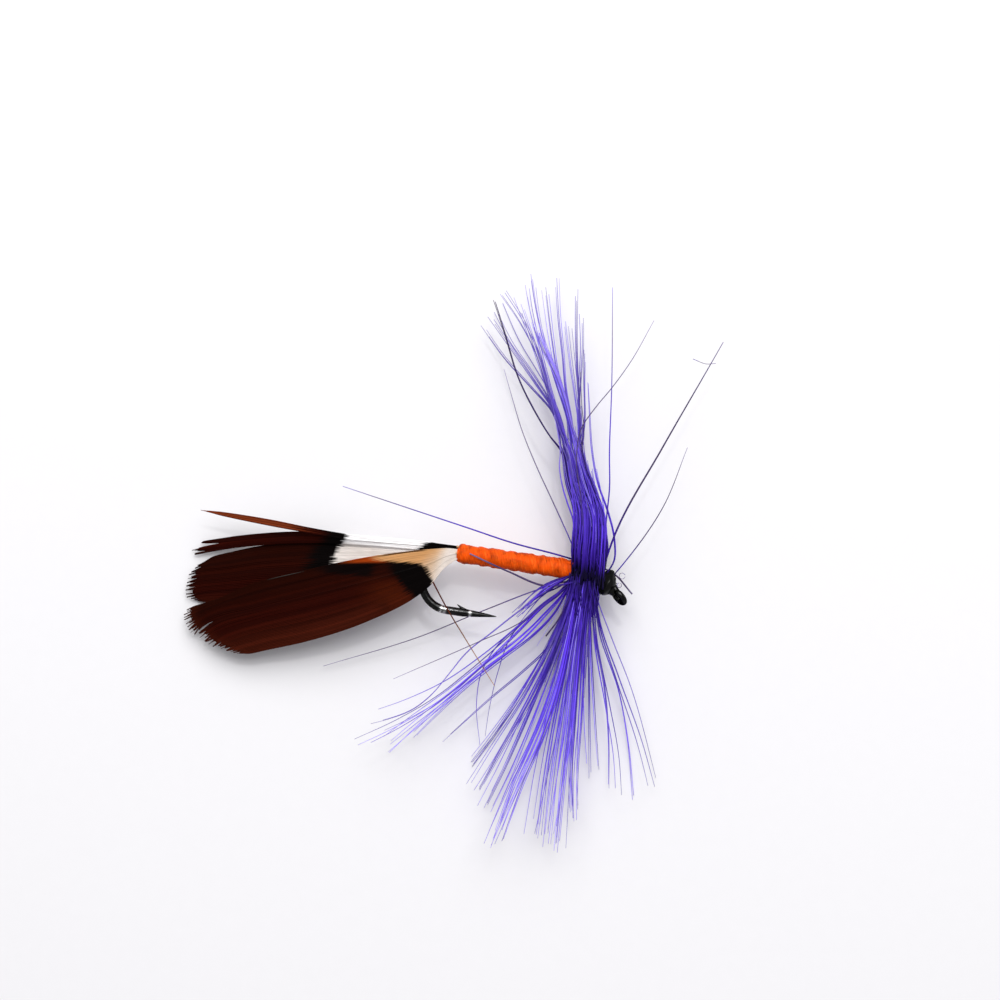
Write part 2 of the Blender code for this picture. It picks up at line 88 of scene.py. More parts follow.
WIRE_R = 0.30
PLATED_R = 0.335
EYE_WIRE_R = 0.25
EYE_R = 0.56
EYE_SLOPE = math.radians(-42.0)
EYE_TWIST = math.radians(20.0)
EYE_CENTRE = (2.98, -1.66)
RING_STEPS = 60
NECK_TWIST_STEPS = 39
NECK_KNOTS = [(2.24, -0.70, 0.02), (1.85, -0.30, 0.0), (1.3, -0.05, 0.0), (0.6, 0.0, 0.0)]
BEND_R = (-HOOK_LOW[1] - WIRE_R) / 2.0
BEND_U = HOOK_LOW[0] + BEND_R + WIRE_R
POINT_U = -6.70
POINT_TAPER = 2.75
POINT_R = 0.012
BARB_TIP = (-10.03, -4.15)
BARB_ROOT_U = -9.0
BARB_CUT_R = 0.17
# Places (u, v) where painted highlights make the wire bright, and about how far round each.
PAINTED_HIGHLIGHT_SPOTS = [(-11.26, -4.66), (-10.96, -4.70), (-8.88, -4.74)]
PAINTED_HIGHLIGHT_R = 0.095

FLOSS_WRAPS = 12
FLOSS_FILAMENTS = 16
FILAMENT_R = 0.04
# How much painted shade darkens the floss on its -v side, away from the lamp, and how much thicker it gets toward
# the hackle.
FLOSS_UNDERSIDE_SHADE = 0.45
FLOSS_SWELL = 0.055
FLOSS_LEAN = 0.13
SHOULDER_LENGTH = 0.34
SHOULDER_DROP = 0.20
# Swellings of the floss: pitch along u, depth and phase.
FLOSS_BUMPS = [(0.83, 0.05, 0.3), (1.31, 0.06, 2.1), (2.6, 0.03, 4.0), (0.47, 0.02, 1.0)]
STEM_R = 0.075
STEM_COIL_R = 0.47
STEM_TURNS = 5
STEM_ENDS = (-0.74, 0.62)
STEM_BUTT = [(0.95, 0.44, 0.0), (1.55, 0.42, 0.0), (2.05, 0.26, 0.0), (4.0, -1.27, 0.0)]
HEAD_TILT = math.radians(18.0)
HEAD_TURNS = 13
HEAD_HALF_LENGTH = 0.80
HEAD_HALF_WIDTH = 1.12
THREAD_R = 0.06
HEAD_NARROWING = 0.42

BARB_STEPS = 44
BARB_ROOT_R = 0.056
BARB_TIP_SHARE = 0.34
# How far from the shank's axis the barbs start, and how high above the table they stay.
BARB_START_R = 0.5
TABLE_GAP = 0.06
# The collar's reach along u, and how far along the hackle's colours its barbs run.
COLLAR_ENDS = (-1.3, 1.35)
COLLAR_RUN = 0.09
# How many barbs each filling has. The collar has this many on each half.
OVERLAY_BARBS = 26
NECK_FILL_BARBS = 40
LOWER_FILL_BARBS = 64
COLLAR_BARBS = 90

# ---- Colours, as they look ----

COLOURS = {
    "violet_root": "0e052c",
    "violet_deep": "3a1c9c",
    "violet": "5a38d6",
    "violet_bright": "6e52e4",
    "lavender": "9a8ae8",
    "dusk": "3c2074",
    "grey_violet": "4a3a66",
    "grey_lavender": "8478a4",
    "orange_in_shade": "b03a00",
    "orange_deep": "dc4c00",
    "orange": "e65207",
    "orange_light": "f0681a",
    "mahogany_dark": "1d0501",
    "mahogany": "2a0602",
    "mahogany_edge": "481a0d",
    "slip_brown": "82381a",
    "orange_brown": "461605",
    "orange_red": "93380c",
    "bar_black": "070404",
    "tan": "c69562",
    "cream": "c8ae94",
    "white": "fdfbfb",
    "shade_white": "dad2cc",
    "paper": "e7e6e8",
}


def colour(name):
    """A named colour as linear red, green and blue."""
    code = COLOURS[name]
    parts = np.array([int(code[i : i + 2], 16) / 255.0 for i in (0, 2, 4)])
    return np.where(parts > 0.04045, ((parts + 0.055) / 1.055) ** 2.4, parts / 12.92)


# ---- Materials ----

# The depth of a fine bump, in metres.
FINE_BUMP = 0.00002


class Look:
    """A Principled material whose colour, roughness and bump come from nodes."""

    def __init__(self, name, roughness, specular, **sockets):
        self.material = bpy.data.materials.new(name)
        self.material.use_nodes = True
        self.tree = self.material.node_tree
        self.shader = self.tree.nodes["Principled BSDF"]
        self.plug(self.shader, Roughness=roughness, Specular_IOR_Level=specular, **sockets)

    def plug(self, node, **inputs):
        """Links each input of a node to the socket given for it, or sets it to the value given."""
        for name, value in inputs.items():
            socket = node.inputs[name.replace("_", " ")]
            if isinstance(value, bpy.types.NodeSocket):
                self.tree.links.new(value, socket)
            else:
                socket.default_value = value

    def node(self, kind, output, settings=(), **inputs):
        """Adds a node and gives back one of its outputs."""
        made = self.tree.nodes.new(kind)
        for key, value in settings:
            setattr(made, key, value)
        self.plug(made, **inputs)
        return made.outputs[output]

    def stored(self, name, output="Fac"):
        """A value that the mesh holds."""
        return self.node("ShaderNodeAttribute", output, [("attribute_name", name)])

    def place(self, stretch=None):
        """Each point's place in the fly's frame, stretched so that noise on it runs in streaks."""
        place = self.stored("place", "Vector")
        return self.node("ShaderNodeMapping", "Vector", Vector=place, Scale=stretch) if stretch else place

    def own_place(self):
        """Each point's place in its object, in metres, for meshes that hold no values."""
        return self.node("ShaderNodeTexCoord", "Object")

    def ramp(self, source, stops):
        """A colour for each value of source. Stops are (place, colour name or grey level)."""
        made = self.tree.nodes.new("ShaderNodeValToRGB")
        band = made.color_ramp
        while len(band.elements) < len(stops):
            band.elements.new(1.0)
        for element, (place, tint) in zip(band.elements, stops):
            level = colour(tint) if isinstance(tint, str) else (tint, tint, tint)
            element.position = place
            element.color = (*level, 1.0)
        self.plug(made, Fac=source)
        return made.outputs["Color"]

    def noise(self, place, scale, detail=3.0):
        """Soft noise whose features are about 1 / scale wide in the units of place."""
        return self.node("ShaderNodeTexNoise", "Fac", Vector=place, Scale=scale, Detail=detail)

    def times(self, tint, factor):
        """A colour made lighter or darker by a value."""
        scale = [("operation", "SCALE")]
        return self.node("ShaderNodeVectorMath", "Vector", scale, Vector=tint, Scale=factor)

    def between(self, value, low, high):
        """A value from 0 to 1, moved to run from low to high."""
        return self.node("ShaderNodeMapRange", "Result", Value=value, To_Min=low, To_Max=high)

    def coat(self, tint, gloss, roughness):
        """Links the colour, and a roughness that gloss moves between two values."""
        self.plug(self.shader, Base_Color=tint, Roughness=self.between(gloss, *roughness))
        return self.material

    def bump(self, height, strength, distance=FINE_BUMP):
        sizes = {"Strength": strength, "Distance": distance}
        self.plug(self.shader, Normal=self.node("ShaderNodeBump", "Normal", Height=height, **sizes))


def hackle_look(name, stops, specular=0.12):
    """Dyed hackle barbs: dark at the root, paler to the tip, each barb in its own shade."""
    look = Look(name, 0.4, specular)
    place = look.place()
    fleck = look.noise(place, 2.2)
    tint = look.ramp(look.stored("run"), stops)
    tint = look.times(tint, look.between(look.stored("tone"), 0.5, 1.45))
    look.bump(look.noise(place, 14.0), 0.25)
    return look.coat(look.times(tint, look.between(fleck, 0.76, 1.24)), fleck, (0.32, 0.55))


def feather_look():
    """Vane barbs: the colour zones are stored on the mesh, with fine streaks over them."""
    look = Look("feather_barbs", 0.6, 0.02)
    place = look.place((0.35, 2.0, 1.0))
    streak = look.noise(place, 3.0, 5.0)
    tint = look.times(look.stored("tint", "Vector"), look.between(look.stored("tone"), 0.84, 1.16))
    look.bump(look.noise(place, 16.0), 0.3)
    return look.coat(look.times(tint, look.between(streak, 0.84, 1.16)), streak, (0.45, 0.7))


def quill_look():
    """A feather's shaft: smooth and slightly glossy, with the colours of the vane beside it."""
    look = Look("feather_shaft", 0.5, 0.03)
    grain = look.noise(look.place((0.3, 3.0, 3.0)), 5.0)
    tint = look.times(look.stored("tint", "Vector"), look.between(grain, 0.8, 1.2))
    look.bump(grain, 0.2)
    return look.coat(tint, grain, (0.35, 0.5))


def butt_look():
    """The hidden cut ends of the quills."""
    look = Look("quill_butt", 0.5, 0.3)
    grain = look.noise(look.own_place(), 6000.0)
    return look.coat(look.ramp(grain, [(0.3, "tan"), (0.7, "cream")]), grain, (0.4, 0.6))


def floss_look():
    """Silk floss: bright filaments, with painted shade where they dip between turns and on the side away from the
    lamp, and a silk sheen.
    """
    silk = (*colour("orange_light"), 1.0)
    look = Look("orange_silk", 0.45, 0.08, Sheen_Weight=0.02, Sheen_Roughness=0.35, Sheen_Tint=silk)
    place = look.place()
    cloud = look.noise(place, 1.7, 5.0)
    # Tone 0 gives the darkest orange: painted shade in the grooves, on the core and on the side away from the
    # lamp, and the darkest random tone.
    stops = [(0.0, "orange_in_shade"), (0.3, "orange_deep"), (0.62, "orange"), (1.0, "orange_light")]
    mottle = look.ramp(cloud, [(0.32, 0.62), (0.5, 0.94), (0.68, 1.1)])
    look.bump(look.noise(place, 20.0), 0.25)
    return look.coat(look.times(look.ramp(look.stored("tone"), stops), mottle), cloud, (0.4, 0.62))


def steel_look():
    """Black nickel over steel wire. Where tone nears 1 the wire's colour is made much brighter, as painted
    highlights.
    """
    look = Look("black_nickel", 0.2, 0.5, Metallic=1.0, Specular_Tint=(0.3, 0.29, 0.3, 1.0))
    place = look.place((1.0, 4.0, 4.0))
    wear = look.noise(place, 3.0, 6.0)
    nickel = look.ramp(wear, [(0.3, 0.010), (0.55, 0.022), (0.8, 0.06)])
    look.bump(look.noise(place, 30.0), 0.12, FINE_BUMP / 2.0)
    # The tone scales the colour up to 26 times there: painted highlights.
    return look.coat(look.times(nickel, look.between(look.stored("tone"), 1.0, 26.0)), wear, (0.05, 0.16))


def thread_look(name, on_cad):
    """Waxed black tying thread, for a drawn mesh or for a carried-over CAD node."""
    look = Look(name, 0.5, 0.03)
    fibre = look.noise(look.own_place(), 9000.0, 4.0) if on_cad else look.noise(look.place(), 9.0, 4.0)
    look.bump(fibre, 0.3)
    return look.coat(look.ramp(fibre, [(0.3, 0.002), (0.7, 0.007)]), fibre, (0.38, 0.62))


def cement_look():
    """A drop of head cement that has set over black thread."""
    look = Look("set_cement", 0.14, 0.10, Coat_Weight=0.04, Coat_Roughness=0.05)
    lump = look.noise(look.place(), 1.8, 4.0)
    look.bump(lump, 0.35, 3.0 * FINE_BUMP)
    return look.coat(look.ramp(lump, [(0.3, 0.002), (0.75, 0.006)]), lump, (0.1, 0.34))


def paper_look():
    """The plain pale table top."""
    look = Look("paper", 0.9, 0.0)
    fibre = look.noise(look.own_place(), 900.0, 4.0)
    sheet = look.ramp(fibre, [(0.0, "paper"), (1.0, "paper")])
    look.plug(look.shader, Base_Color=look.times(sheet, look.between(fibre, 0.99, 1.01)))
    return look.material


# Colours along a barb, from its root at 0 to its tip at 1.
SINGLE_STOPS = [
    (0.0, "violet_root"), (0.06, "violet_deep"), (0.5, "violet"), (0.85, "grey_lavender"), (1.0, "lavender"),
]
VIOLET_STOPS = [
    (0.0, "violet_root"), (0.08, "violet_deep"), (0.2, "violet"), (0.45, "violet_bright"), (1.0, "lavender"),
]
LOW_STOPS = [
    (0.0, "violet_root"), (0.1, "violet_deep"), (0.28, "violet"), (0.58, "violet_bright"), (1.0, "lavender"),
]
ROOT_STOPS = [(0.08, "violet_root"), (0.2, "violet_deep"), (0.45, "violet"), (1.0, "violet_bright")]
PALE_STOPS = [(0.0, "violet_deep"), (0.1, "violet_bright"), (0.5, "lavender")]
GREY_STOPS = [
    (0.0, "violet_root"), (0.08, "violet_deep"), (0.3, "grey_violet"), (0.75, "grey_violet"),
    (1.0, "grey_lavender"),
]
DUSK_STOPS = [(0.0, "violet_root"), (0.25, "violet_deep"), (0.5, "dusk"), (1.0, "grey_violet")]

# The material of each look, by the name that the drawn pieces use for it.
LOOKS = {
    "violet": hackle_look("violet_barbs", VIOLET_STOPS),
    "pale": hackle_look("pale_violet_barbs", PALE_STOPS, 0.06),
    "grey": hackle_look("grey_violet_barbs", GREY_STOPS),
    "dusk": hackle_look("dusky_barbs", DUSK_STOPS),
    "single": hackle_look("single_violet_barbs", SINGLE_STOPS),
    "low": hackle_look("low_violet_barbs", LOW_STOPS),
    "root": hackle_look("root_barbs", ROOT_STOPS),
    "feather": feather_look(),
    "quill": quill_look(),
    "floss": floss_look(),
    "steel": steel_look(),
    "thread": thread_look("black_thread_turns", on_cad=False),
    "bound_thread": thread_look("black_thread_bound", on_cad=True),
    "cement": cement_look(),
    "butt": butt_look(),
    "paper": paper_look(),
}


# ---- Strands and pieces ----

ROOT_BODY = "hook_and_body"


def unit(vectors):
    """The same vectors with a length of 1."""
    return vectors / np.maximum(np.linalg.norm(vectors, axis=-1, keepdims=True), 1e-12)


def ease(value):
    """A smooth step from 0 to 1."""
    value = np.clip(value, 0, 1)
    return value * value * (3.0 - 2.0 * value)


def along(line):
    """How far along a line each of its points lies."""
    return np.concatenate(([0.0], np.cumsum(np.linalg.norm(np.diff(line, axis=0), axis=1))))


def smooth(knots, count):
    """A smooth path of count points through the knots."""
    knots = np.array(knots, float)
    places = along(knots)
    slopes = np.gradient(knots, places, axis=0)
    where = np.linspace(0.0, places[-1], count)
    index = np.clip(np.searchsorted(places, where, side="right") - 1, 0, len(knots) - 2)
    span = (places[index + 1] - places[index])[:, None]
    t = (where - places[index])[:, None] / span
    rise = t * t * (3.0 - 2.0 * t)
    path = knots[index] * (1.0 - rise) + knots[index + 1] * rise
    path += slopes[index] * span * t * (1.0 - t) ** 2
    path -= slopes[index + 1] * span * t * t * (1.0 - t)
    return path


def wander(parts, count, size):
    """A random line through count points, about this far from 0, read at parts from 0 to 1."""
    return np.interp(parts, np.linspace(0, 1, count), rng.normal(0, size, count))


class Bundle:
    """Closed strands gathered into one mesh, with the values that its material reads."""

    def __init__(self):
        self.points = []
        self.faces = []
        self.values = {"run": [], "tone": [], "tint": []}
        self.count = 0

    def store(self, points, faces, **values):
        self.points.append(points)
        self.faces += faces
        self.count += len(points)
        for key, rows in values.items():
            self.values[key].append(rows)

    def strand(self, path, widths, heights=None, up=(0.0, 0.0, 1.0), sides=6, tone=0.5, tint=(0, 0, 0)):
        """A closed strand along a path, with an oval section and capped ends.

        widths and heights are half sizes, tone is one value or one for each point, and up is
        the direction of the section's height.
        """
        path = np.asarray(path, float)
        count = len(path)
        widths = np.broadcast_to(widths, count)
        heights = widths if heights is None else np.broadcast_to(heights, count)
        ahead = unit(np.gradient(path, axis=0))
        side = unit(np.cross(np.broadcast_to(up, path.shape), ahead))
        above = np.cross(ahead, side)
        turns = np.arange(sides) * math.tau / sides
        ring = side[:, None] * (np.cos(turns)[None] * widths[:, None])[..., None]
        ring = ring + above[:, None] * (np.sin(turns)[None] * heights[:, None])[..., None]
        index = self.count + np.arange(count * sides).reshape(count, sides)
        beside = np.roll(index, -1, axis=1)
        quads = np.stack([index[:-1], beside[:-1], beside[1:], index[1:]], axis=-1)
        self.store(
            (path[:, None] + ring).reshape(-1, 3),
            quads.reshape(-1, 4).tolist() + [index[0, ::-1].tolist(), index[-1].tolist()],
            run=np.repeat(np.linspace(0, 1, count), sides),
            tone=np.repeat(np.broadcast_to(tone, count), sides),
            tint=np.repeat(np.broadcast_to(tint, (count, 3)), sides, axis=0),
        )

    def solid(self, shape):
        """A closed bmesh drawn in the fly's frame."""
        points = np.array([vertex.co for vertex in shape.verts])
        faces = [[v.index + self.count for v in face.verts] for face in shape.faces]
        size = len(points)
        self.store(points, faces, run=np.zeros(size), tone=np.full(size, 0.5), tint=np.zeros((size, 3)))

    def middle(self):
        return np.concatenate(self.points).mean(axis=0)

    def piece(self, name, look, bend=None, stands_for=()):
        """Makes the mesh. Without bend it hangs the mesh on the root; with bend, a body's name, it only fixes the
        mesh in place and ties it to no body.
        """
        mesh = bpy.data.meshes.new(name)
        points = np.concatenate(self.points)
        mesh.from_pydata(points.tolist(), [], self.faces)
        values = {key: np.concatenate(rows) for key, rows in self.values.items()}
        for key, rows in {**values, "place": points}.items():
            kind, field = ("FLOAT", "value") if rows.ndim == 1 else ("FLOAT_VECTOR", "vector")
            held = mesh.attributes.new(key, kind, "POINT")
            held.data.foreach_set(field, rows.astype(np.float32).ravel())
        mesh.transform(FLY)
        mesh.shade_smooth()
        mesh.materials.append(LOOKS[look])
        made = bpy.data.objects.new(name, mesh)
        bpy.context.scene.collection.objects.link(made)
        if bend:
            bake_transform(made)
        else:
            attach(made, ROOT_BODY)
        if stands_for:
            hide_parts(*stands_for)
        return made


# ---- Hook ----


def eye_axes():
    """Unit directions of the eye: outward along its wire, and across the ring."""
    out = np.array((math.cos(EYE_SLOPE), math.sin(EYE_SLOPE), 0.0))
    twist = math.sin(EYE_TWIST)
    return out, np.array((-out[1] * twist, out[0] * twist, math.cos(EYE_TWIST)))


def hook_line():
    """The wire's centreline and radius, from the end of the eye's ring to the point."""
    out, side = eye_axes()
    around = np.radians(np.linspace(308.0, 40.0, RING_STEPS))[:, None]
    ring = np.array((*EYE_CENTRE, 0.0)) + (side * np.sin(around) - out * np.cos(around)) * EYE_R
    neck = smooth([ring[-1], *NECK_KNOTS], 24)[1:]
    shank = np.linspace((0.3, 0.0, 0.0), (BEND_U + 0.2, 0.0, 0.0), 20)
    turn = np.linspace(0.0, math.pi, 64)
    bend = np.stack([BEND_U - BEND_R * np.sin(turn), BEND_R * (np.cos(turn) - 1.0), 0.0 * turn], 1)
    left = np.linspace(1.0, 0.0, 60)
    spear_v = -2.0 * BEND_R + 0.06 * (1.0 - left)
    spear = np.stack([POINT_U - POINT_TAPER * left, spear_v, 0.0 * left], 1)
    stretches = [
        (ring, np.full(len(ring), EYE_WIRE_R)),
        (neck, EYE_WIRE_R + (WIRE_R - EYE_WIRE_R) * ease(np.linspace(0.0, 1.6, len(neck)))),
        (shank, np.full(len(shank), WIRE_R)),
        (bend, WIRE_R + (PLATED_R - WIRE_R) * ease(turn / 0.6)),
        (spear, POINT_R + (PLATED_R - POINT_R) * left**0.72),
    ]
    line, radii = (np.concatenate(part) for part in zip(*stretches))
    return line, radii


def make_hook():
    """One bent wire with a ring eye, a round bend, a ground point and a barb cut up from it."""
    wire = Bundle()
    line, radii = hook_line()
    ahead = unit(np.gradient(line, axis=0))
    on_ring = np.cross(*eye_axes())
    turned = ease((np.arange(len(line)) - RING_STEPS) / NECK_TWIST_STEPS)[:, None]
    flat = unit(on_ring + (np.array((0.0, 0.0, 1.0)) - on_ring) * turned)
    up = unit(flat - ahead * (flat * ahead).sum(axis=1, keepdims=True))
    # Painted highlights: the tone rises near each listed spot and brightens the wire's colour there.
    painted_highlight = np.zeros(len(line))
    for spot in PAINTED_HIGHLIGHT_SPOTS:
        away = np.linalg.norm(line[:, :2] - np.array(spot), axis=1)
        painted_highlight = painted_highlight + np.exp(-((away / PAINTED_HIGHLIGHT_R) ** 2))
    wire.strand(line, radii, up=up, sides=24, tone=painted_highlight)
    root = (BARB_ROOT_U, -2.0 * BEND_R + 0.08, 0.0)
    middle = (BARB_TIP[0] + 0.45, BARB_TIP[1] - 0.26, 0.0)
    barb_line = smooth([root, middle, (*BARB_TIP, 0.0)], 16)
    thin = BARB_CUT_R * np.linspace(1.0, 0.0, 16) ** 0.7
    wire.strand(barb_line, 0.015 + thin, 0.02 + thin, sides=12, tone=0.0)
    wire.piece("hook_wire", "steel", stands_for=["hook"])


# ---- Floss, thread, stem and head ----


def floss_radius(u, lean=0.0):
    """The floss's outer radius at u, lumpy because its turns overlap unevenly."""
    share = (u - FLOSS_LOW[0]) / (FLOSS_HIGH[0] - FLOSS_LOW[0])
    radius = FLOSS_HIGH[2] - 0.01 + FLOSS_SWELL * share
    for pitch, depth, phase in FLOSS_BUMPS:
        radius = radius - depth * (0.5 + 0.5 * np.sin((u + lean) * math.tau / pitch + phase))
    shoulder = np.clip(np.minimum(u - FLOSS_LOW[0], FLOSS_HIGH[0] - u) / SHOULDER_LENGTH, 0, 1)
    return radius - SHOULDER_DROP * (1.0 - np.sqrt(1.0 - (1.0 - shoulder) ** 2))


def make_floss():
    """Many fine filaments of silk wound side by side, in uneven, slightly leaning turns."""
    start_u = FLOSS_LOW[0] + FILAMENT_R
    end_u = FLOSS_HIGH[0] - FILAMENT_R
    pitch = (end_u - start_u) / FLOSS_WRAPS
    parts = np.linspace(0, 1, FLOSS_WRAPS * 40)
    angle = parts * FLOSS_WRAPS * math.tau + 0.9
    away = np.stack([0.0 * parts, np.cos(angle), np.sin(angle)], 1)
    lean = FLOSS_LEAN * np.cos(angle)
    bundle = Bundle()
    for number in range(FLOSS_FILAMENTS):
        lane = number / FLOSS_FILAMENTS
        u = start_u + (parts * FLOSS_WRAPS + lane - 0.5) * pitch + wander(parts, 60, 0.022) - lean
        u = np.clip(u, start_u, end_u)
        radius = floss_radius(u, lean) - FILAMENT_R + wander(parts, 110, 0.008)
        path = np.stack([u, np.cos(angle) * radius, np.sin(angle) * radius], 1)
        # Filaments at the edges of each turn are darker, as painted shade in the dip between turns. Each filament
        # also has its own random tone.
        tone = 0.55 - 0.14 * np.cos((lane + 0.1) * math.tau) + rng.uniform(-0.13, 0.13)
        tone = tone + wander(parts, 150, 0.18)
        # Painted shade on the -v side, away from the lamp.
        tone = tone - FLOSS_UNDERSIDE_SHADE * np.clip(-np.cos(angle) - 0.3, 0, 1)
        bundle.strand(path, FILAMENT_R * 1.3, FILAMENT_R, up=away, tone=np.clip(tone, 0, 1))
    # The core is dark: painted shade where it shows between the filaments.
    core = np.linspace((start_u + 0.02, 0.0, 0.0), (end_u - 0.02, 0.0, 0.0), 90)
    bundle.strand(core, floss_radius(core[:, 0]) - 1.4 * FILAMENT_R, sides=32, tone=0.1)
    bundle.piece("floss_turns", "floss", stands_for=["floss_body"])


def make_stem():
    """The hackle feather's stem, wound round the shank, with its cut butt left standing."""
    turns = np.linspace(0, 1, 40 * STEM_TURNS)
    angle = math.pi / 2.0 - math.tau * STEM_TURNS * (1.0 - turns)
    away = np.stack([0.0 * turns, np.sin(angle), np.cos(angle)], 1)
    coil = away * STEM_COIL_R
    coil[:, 0] = np.linspace(*STEM_ENDS, len(turns))
    bundle = Bundle()
    bundle.strand(coil, STEM_R, up=away, sides=10, tone=0.1)
    butt = smooth([coil[-1], *STEM_BUTT], 40)
    bundle.strand(butt, STEM_R * np.linspace(1.0, 0.86, 40), sides=10, tone=0.12)
    bundle.piece("wound_stem", "grey", stands_for=["hackle_stem"])


def head_frame():
    """The head's centre and its half sizes along its axis, across it and up."""
    centre = (HEAD_LOW + HEAD_HIGH) / 2.0
    axis = np.array((math.cos(HEAD_TILT), -math.sin(HEAD_TILT), 0.0))
    across = np.array((math.sin(HEAD_TILT), math.cos(HEAD_TILT), 0.0))
    high = (HEAD_HIGH[2] - HEAD_LOW[2]) / 2.0
    return centre, axis * HEAD_HALF_LENGTH, across * HEAD_HALF_WIDTH, np.array((0.0, 0.0, high))


def head_ball(scale, lumps):
    """The head's rounded form as a bmesh, wider on its lower side."""
    centre, axis, across, up = head_frame()
    shape = bmesh.new()
    bmesh.ops.create_uvsphere(shape, u_segments=48, v_segments=32, radius=1.0)
    for vertex in shape.verts:
        x, y, z = vertex.co.z, vertex.co.x, vertex.co.y
        narrow = 1.0 - HEAD_NARROWING * ease(y)
        bump = 1.0 + lumps * math.sin(5.0 * x + 3.0 * y) * math.cos(4.0 * z + 2.0 * x)
        vertex.co = centre + (axis * x * narrow + across * y + up * z * narrow) * scale * bump
    bmesh.ops.recalc_face_normals(shape, faces=shape.faces)
    return shape


def make_head():
    """Thread turns over the bent neck of the wire, on a solid core of thread."""
    centre, *axes = head_frame()
    parts = np.linspace(0, 1, HEAD_TURNS * 40)
    bundle = Bundle()
    for layer in range(2):
        way = (-1.0) ** layer
        x = (parts * 2.0 - 1.0) * 0.97 * way
        girth = np.sqrt(1.0 - x * x) * (0.955 - 0.03 * layer) + wander(parts, 60, 0.012)
        angle = parts * HEAD_TURNS * math.tau + layer
        x = (x + 0.10 * np.cos(angle) * way) * 0.97
        y, z = np.cos(angle) * girth, np.sin(angle) * girth
        narrow = 1.0 - HEAD_NARROWING * ease(y)
        path = centre + np.stack([x * narrow, y, z * narrow], 1) @ np.array(axes)
        bundle.strand(path, THREAD_R, THREAD_R * 0.8, up=unit(path - centre), sides=8)
    core = head_ball(0.94, 0.01)
    bundle.solid(core)
    core.free()
    bundle.piece("head_turns", "thread", stands_for=["head_thread"])


def make_cement():
    """The set drop: glossy over the head's front half, tucked in behind, with a run toward the eye."""
    centre, axis, *_ = head_frame()
    shape = head_ball(1.035, 0.02)
    for vertex in shape.verts:
        place = np.array(vertex.co) - centre
        ahead = float(np.dot(place, axis)) / HEAD_HALF_LENGTH**2
        vertex.co = centre + place * (1.0 - 0.16 * float(ease((0.25 - ahead) / 0.35)))
    bundle = Bundle()
    bundle.solid(shape)
    shape.free()
    run_down = smooth([(1.95, -0.90, 0.0), (2.3, -1.12, 0.0), (2.66, -1.40, 0.0)], 16)
    bundle.strand(run_down, np.linspace(0.66, 0.36, 16), sides=24)
    bundle.piece("cement_drop", "cement", stands_for=["head_cement"])


# ---- Tail ----

# Each station is a line across a feather from its upper to its lower margin. The barbs run from
# the first station, at the tie, to the last, at the tip. Heights are w at the tie and the tip.
FRONT_FEATHER = {
    "stations": [
        [(-10.45, 0.28), (-10.45, -0.38)], [(-11.4, 0.26), (-11.5, -1.35)], [(-12.6, 0.02), (-12.35, -2.8)],
        [(-14, -0.3), (-13.3, -3.85)], [(-17.8, -1.4), (-17, -6.5)], [(-22.8, -3.25), (-21.7, -8.85)],
        [(-27.2, -5.1), (-25, -10.1)], [(-29.4, -6.5), (-30.3, -8), (-29.2, -9.2), (-26.2, -10.55)],
        [(-32.2, -7.8), (-32, -8.6), (-31.4, -9.5), (-30.7, -9.75), (-29.5, -10.4), (-27.2, -10.75)],
    ],
    "heights": (0.62, -2.35),
    "cup": 0.38,
    "quill": 0.36,
    "lanes": 96,
    "slits": [(0.37, 0.13, 0.030), (0.62, 0.05, 0.012), (0.80, 0.05, 0.012), (0.14, 0.04, 0.006)],
    "teeth": (3, 8),
    "tooth_depth": (0.02, 0.05),
    "droop": 0.12,
}
REAR_FEATHER = {
    "stations": [
        [(-10.45, 0.5), (-10.45, -0.45)], [(-12, 0.42), (-12, -1.5)], [(-14, -0.05), (-14, -2.5)],
        [(-17.8, -0.42), (-17.8, -3.6)], [(-22.8, -0.85), (-22.8, -5.9)], [(-26.9, -1.87), (-26.9, -6.6)],
        [(-29.2, -2.72), (-29.4, -7)],
        [(-31.5, -3.6), (-32.2, -4.7), (-32.3, -6), (-32.15, -6.65), (-31.1, -6.9)],
    ],
    "heights": (-0.34, -3.05),
    "cup": 0.38,
    "quill": 0.45,
    "lanes": 68,
    "slits": [(0.18, 0.05, 0.016), (0.42, 0.045, 0.014), (0.66, 0.05, 0.016)],
    "teeth": (4, 8),
    "tooth_depth": (0.035, 0.065),
    "droop": 0.42,
}
STRAND = {
    "stations": [
        [(-10.45, 0.55), (-10.45, 0.25)], [(-13.3, 0.5), (-13.3, -0.12)], [(-16.5, 0.36), (-16.5, -0.3)],
        [(-19.8, 0.2), (-20, -0.58)], [(-24, -0.22), (-24.2, -1.14)], [(-27, -0.84), (-26.9, -1.72)],
        [(-29.2, -1.4), (-29, -2.26)], [(-31.5, -1.92), (-32, -2.5), (-32.5, -3.45)],
    ],
    "heights": (-0.08, -3.1),
    "cup": 0.05,
    "lanes": 18,
    "slits": [(0.46, 0.14, 0.08)],
    "teeth": (8, 9),
    "tooth_depth": (0.12, 0.15),
    "droop": 0.0,
}
SLIP = {
    "stations": [
        [(-10.45, 0.45), (-10.45, 0.2)], [(-13.3, 0.54), (-13.3, 0.2)], [(-16.5, 0.38), (-16.5, 0.02)],
        [(-19.8, 0.22), (-20, -0.15)], [(-22.8, 0.3), (-22.9, -0.1)], [(-26.1, 0.48), (-26.1, 0.02)],
        [(-29.3, 0.54), (-29.3, 0.2)], [(-31.9, 0.5), (-31.9, 0.42)],
    ],
    "heights": (0.0, -1.0),
    "cup": 0.0,
    "lanes": 9,
    "slits": [],
    "teeth": (9, 10),
    "tooth_depth": (0.06, 0.08),
    "droop": 0.0,
}
LEVEL_UNTIL_U = -13.9
TAIL_TIP_U = -32.0
TIE_U = -11.6
LANE_STEPS = 84
BARB_T = 0.028
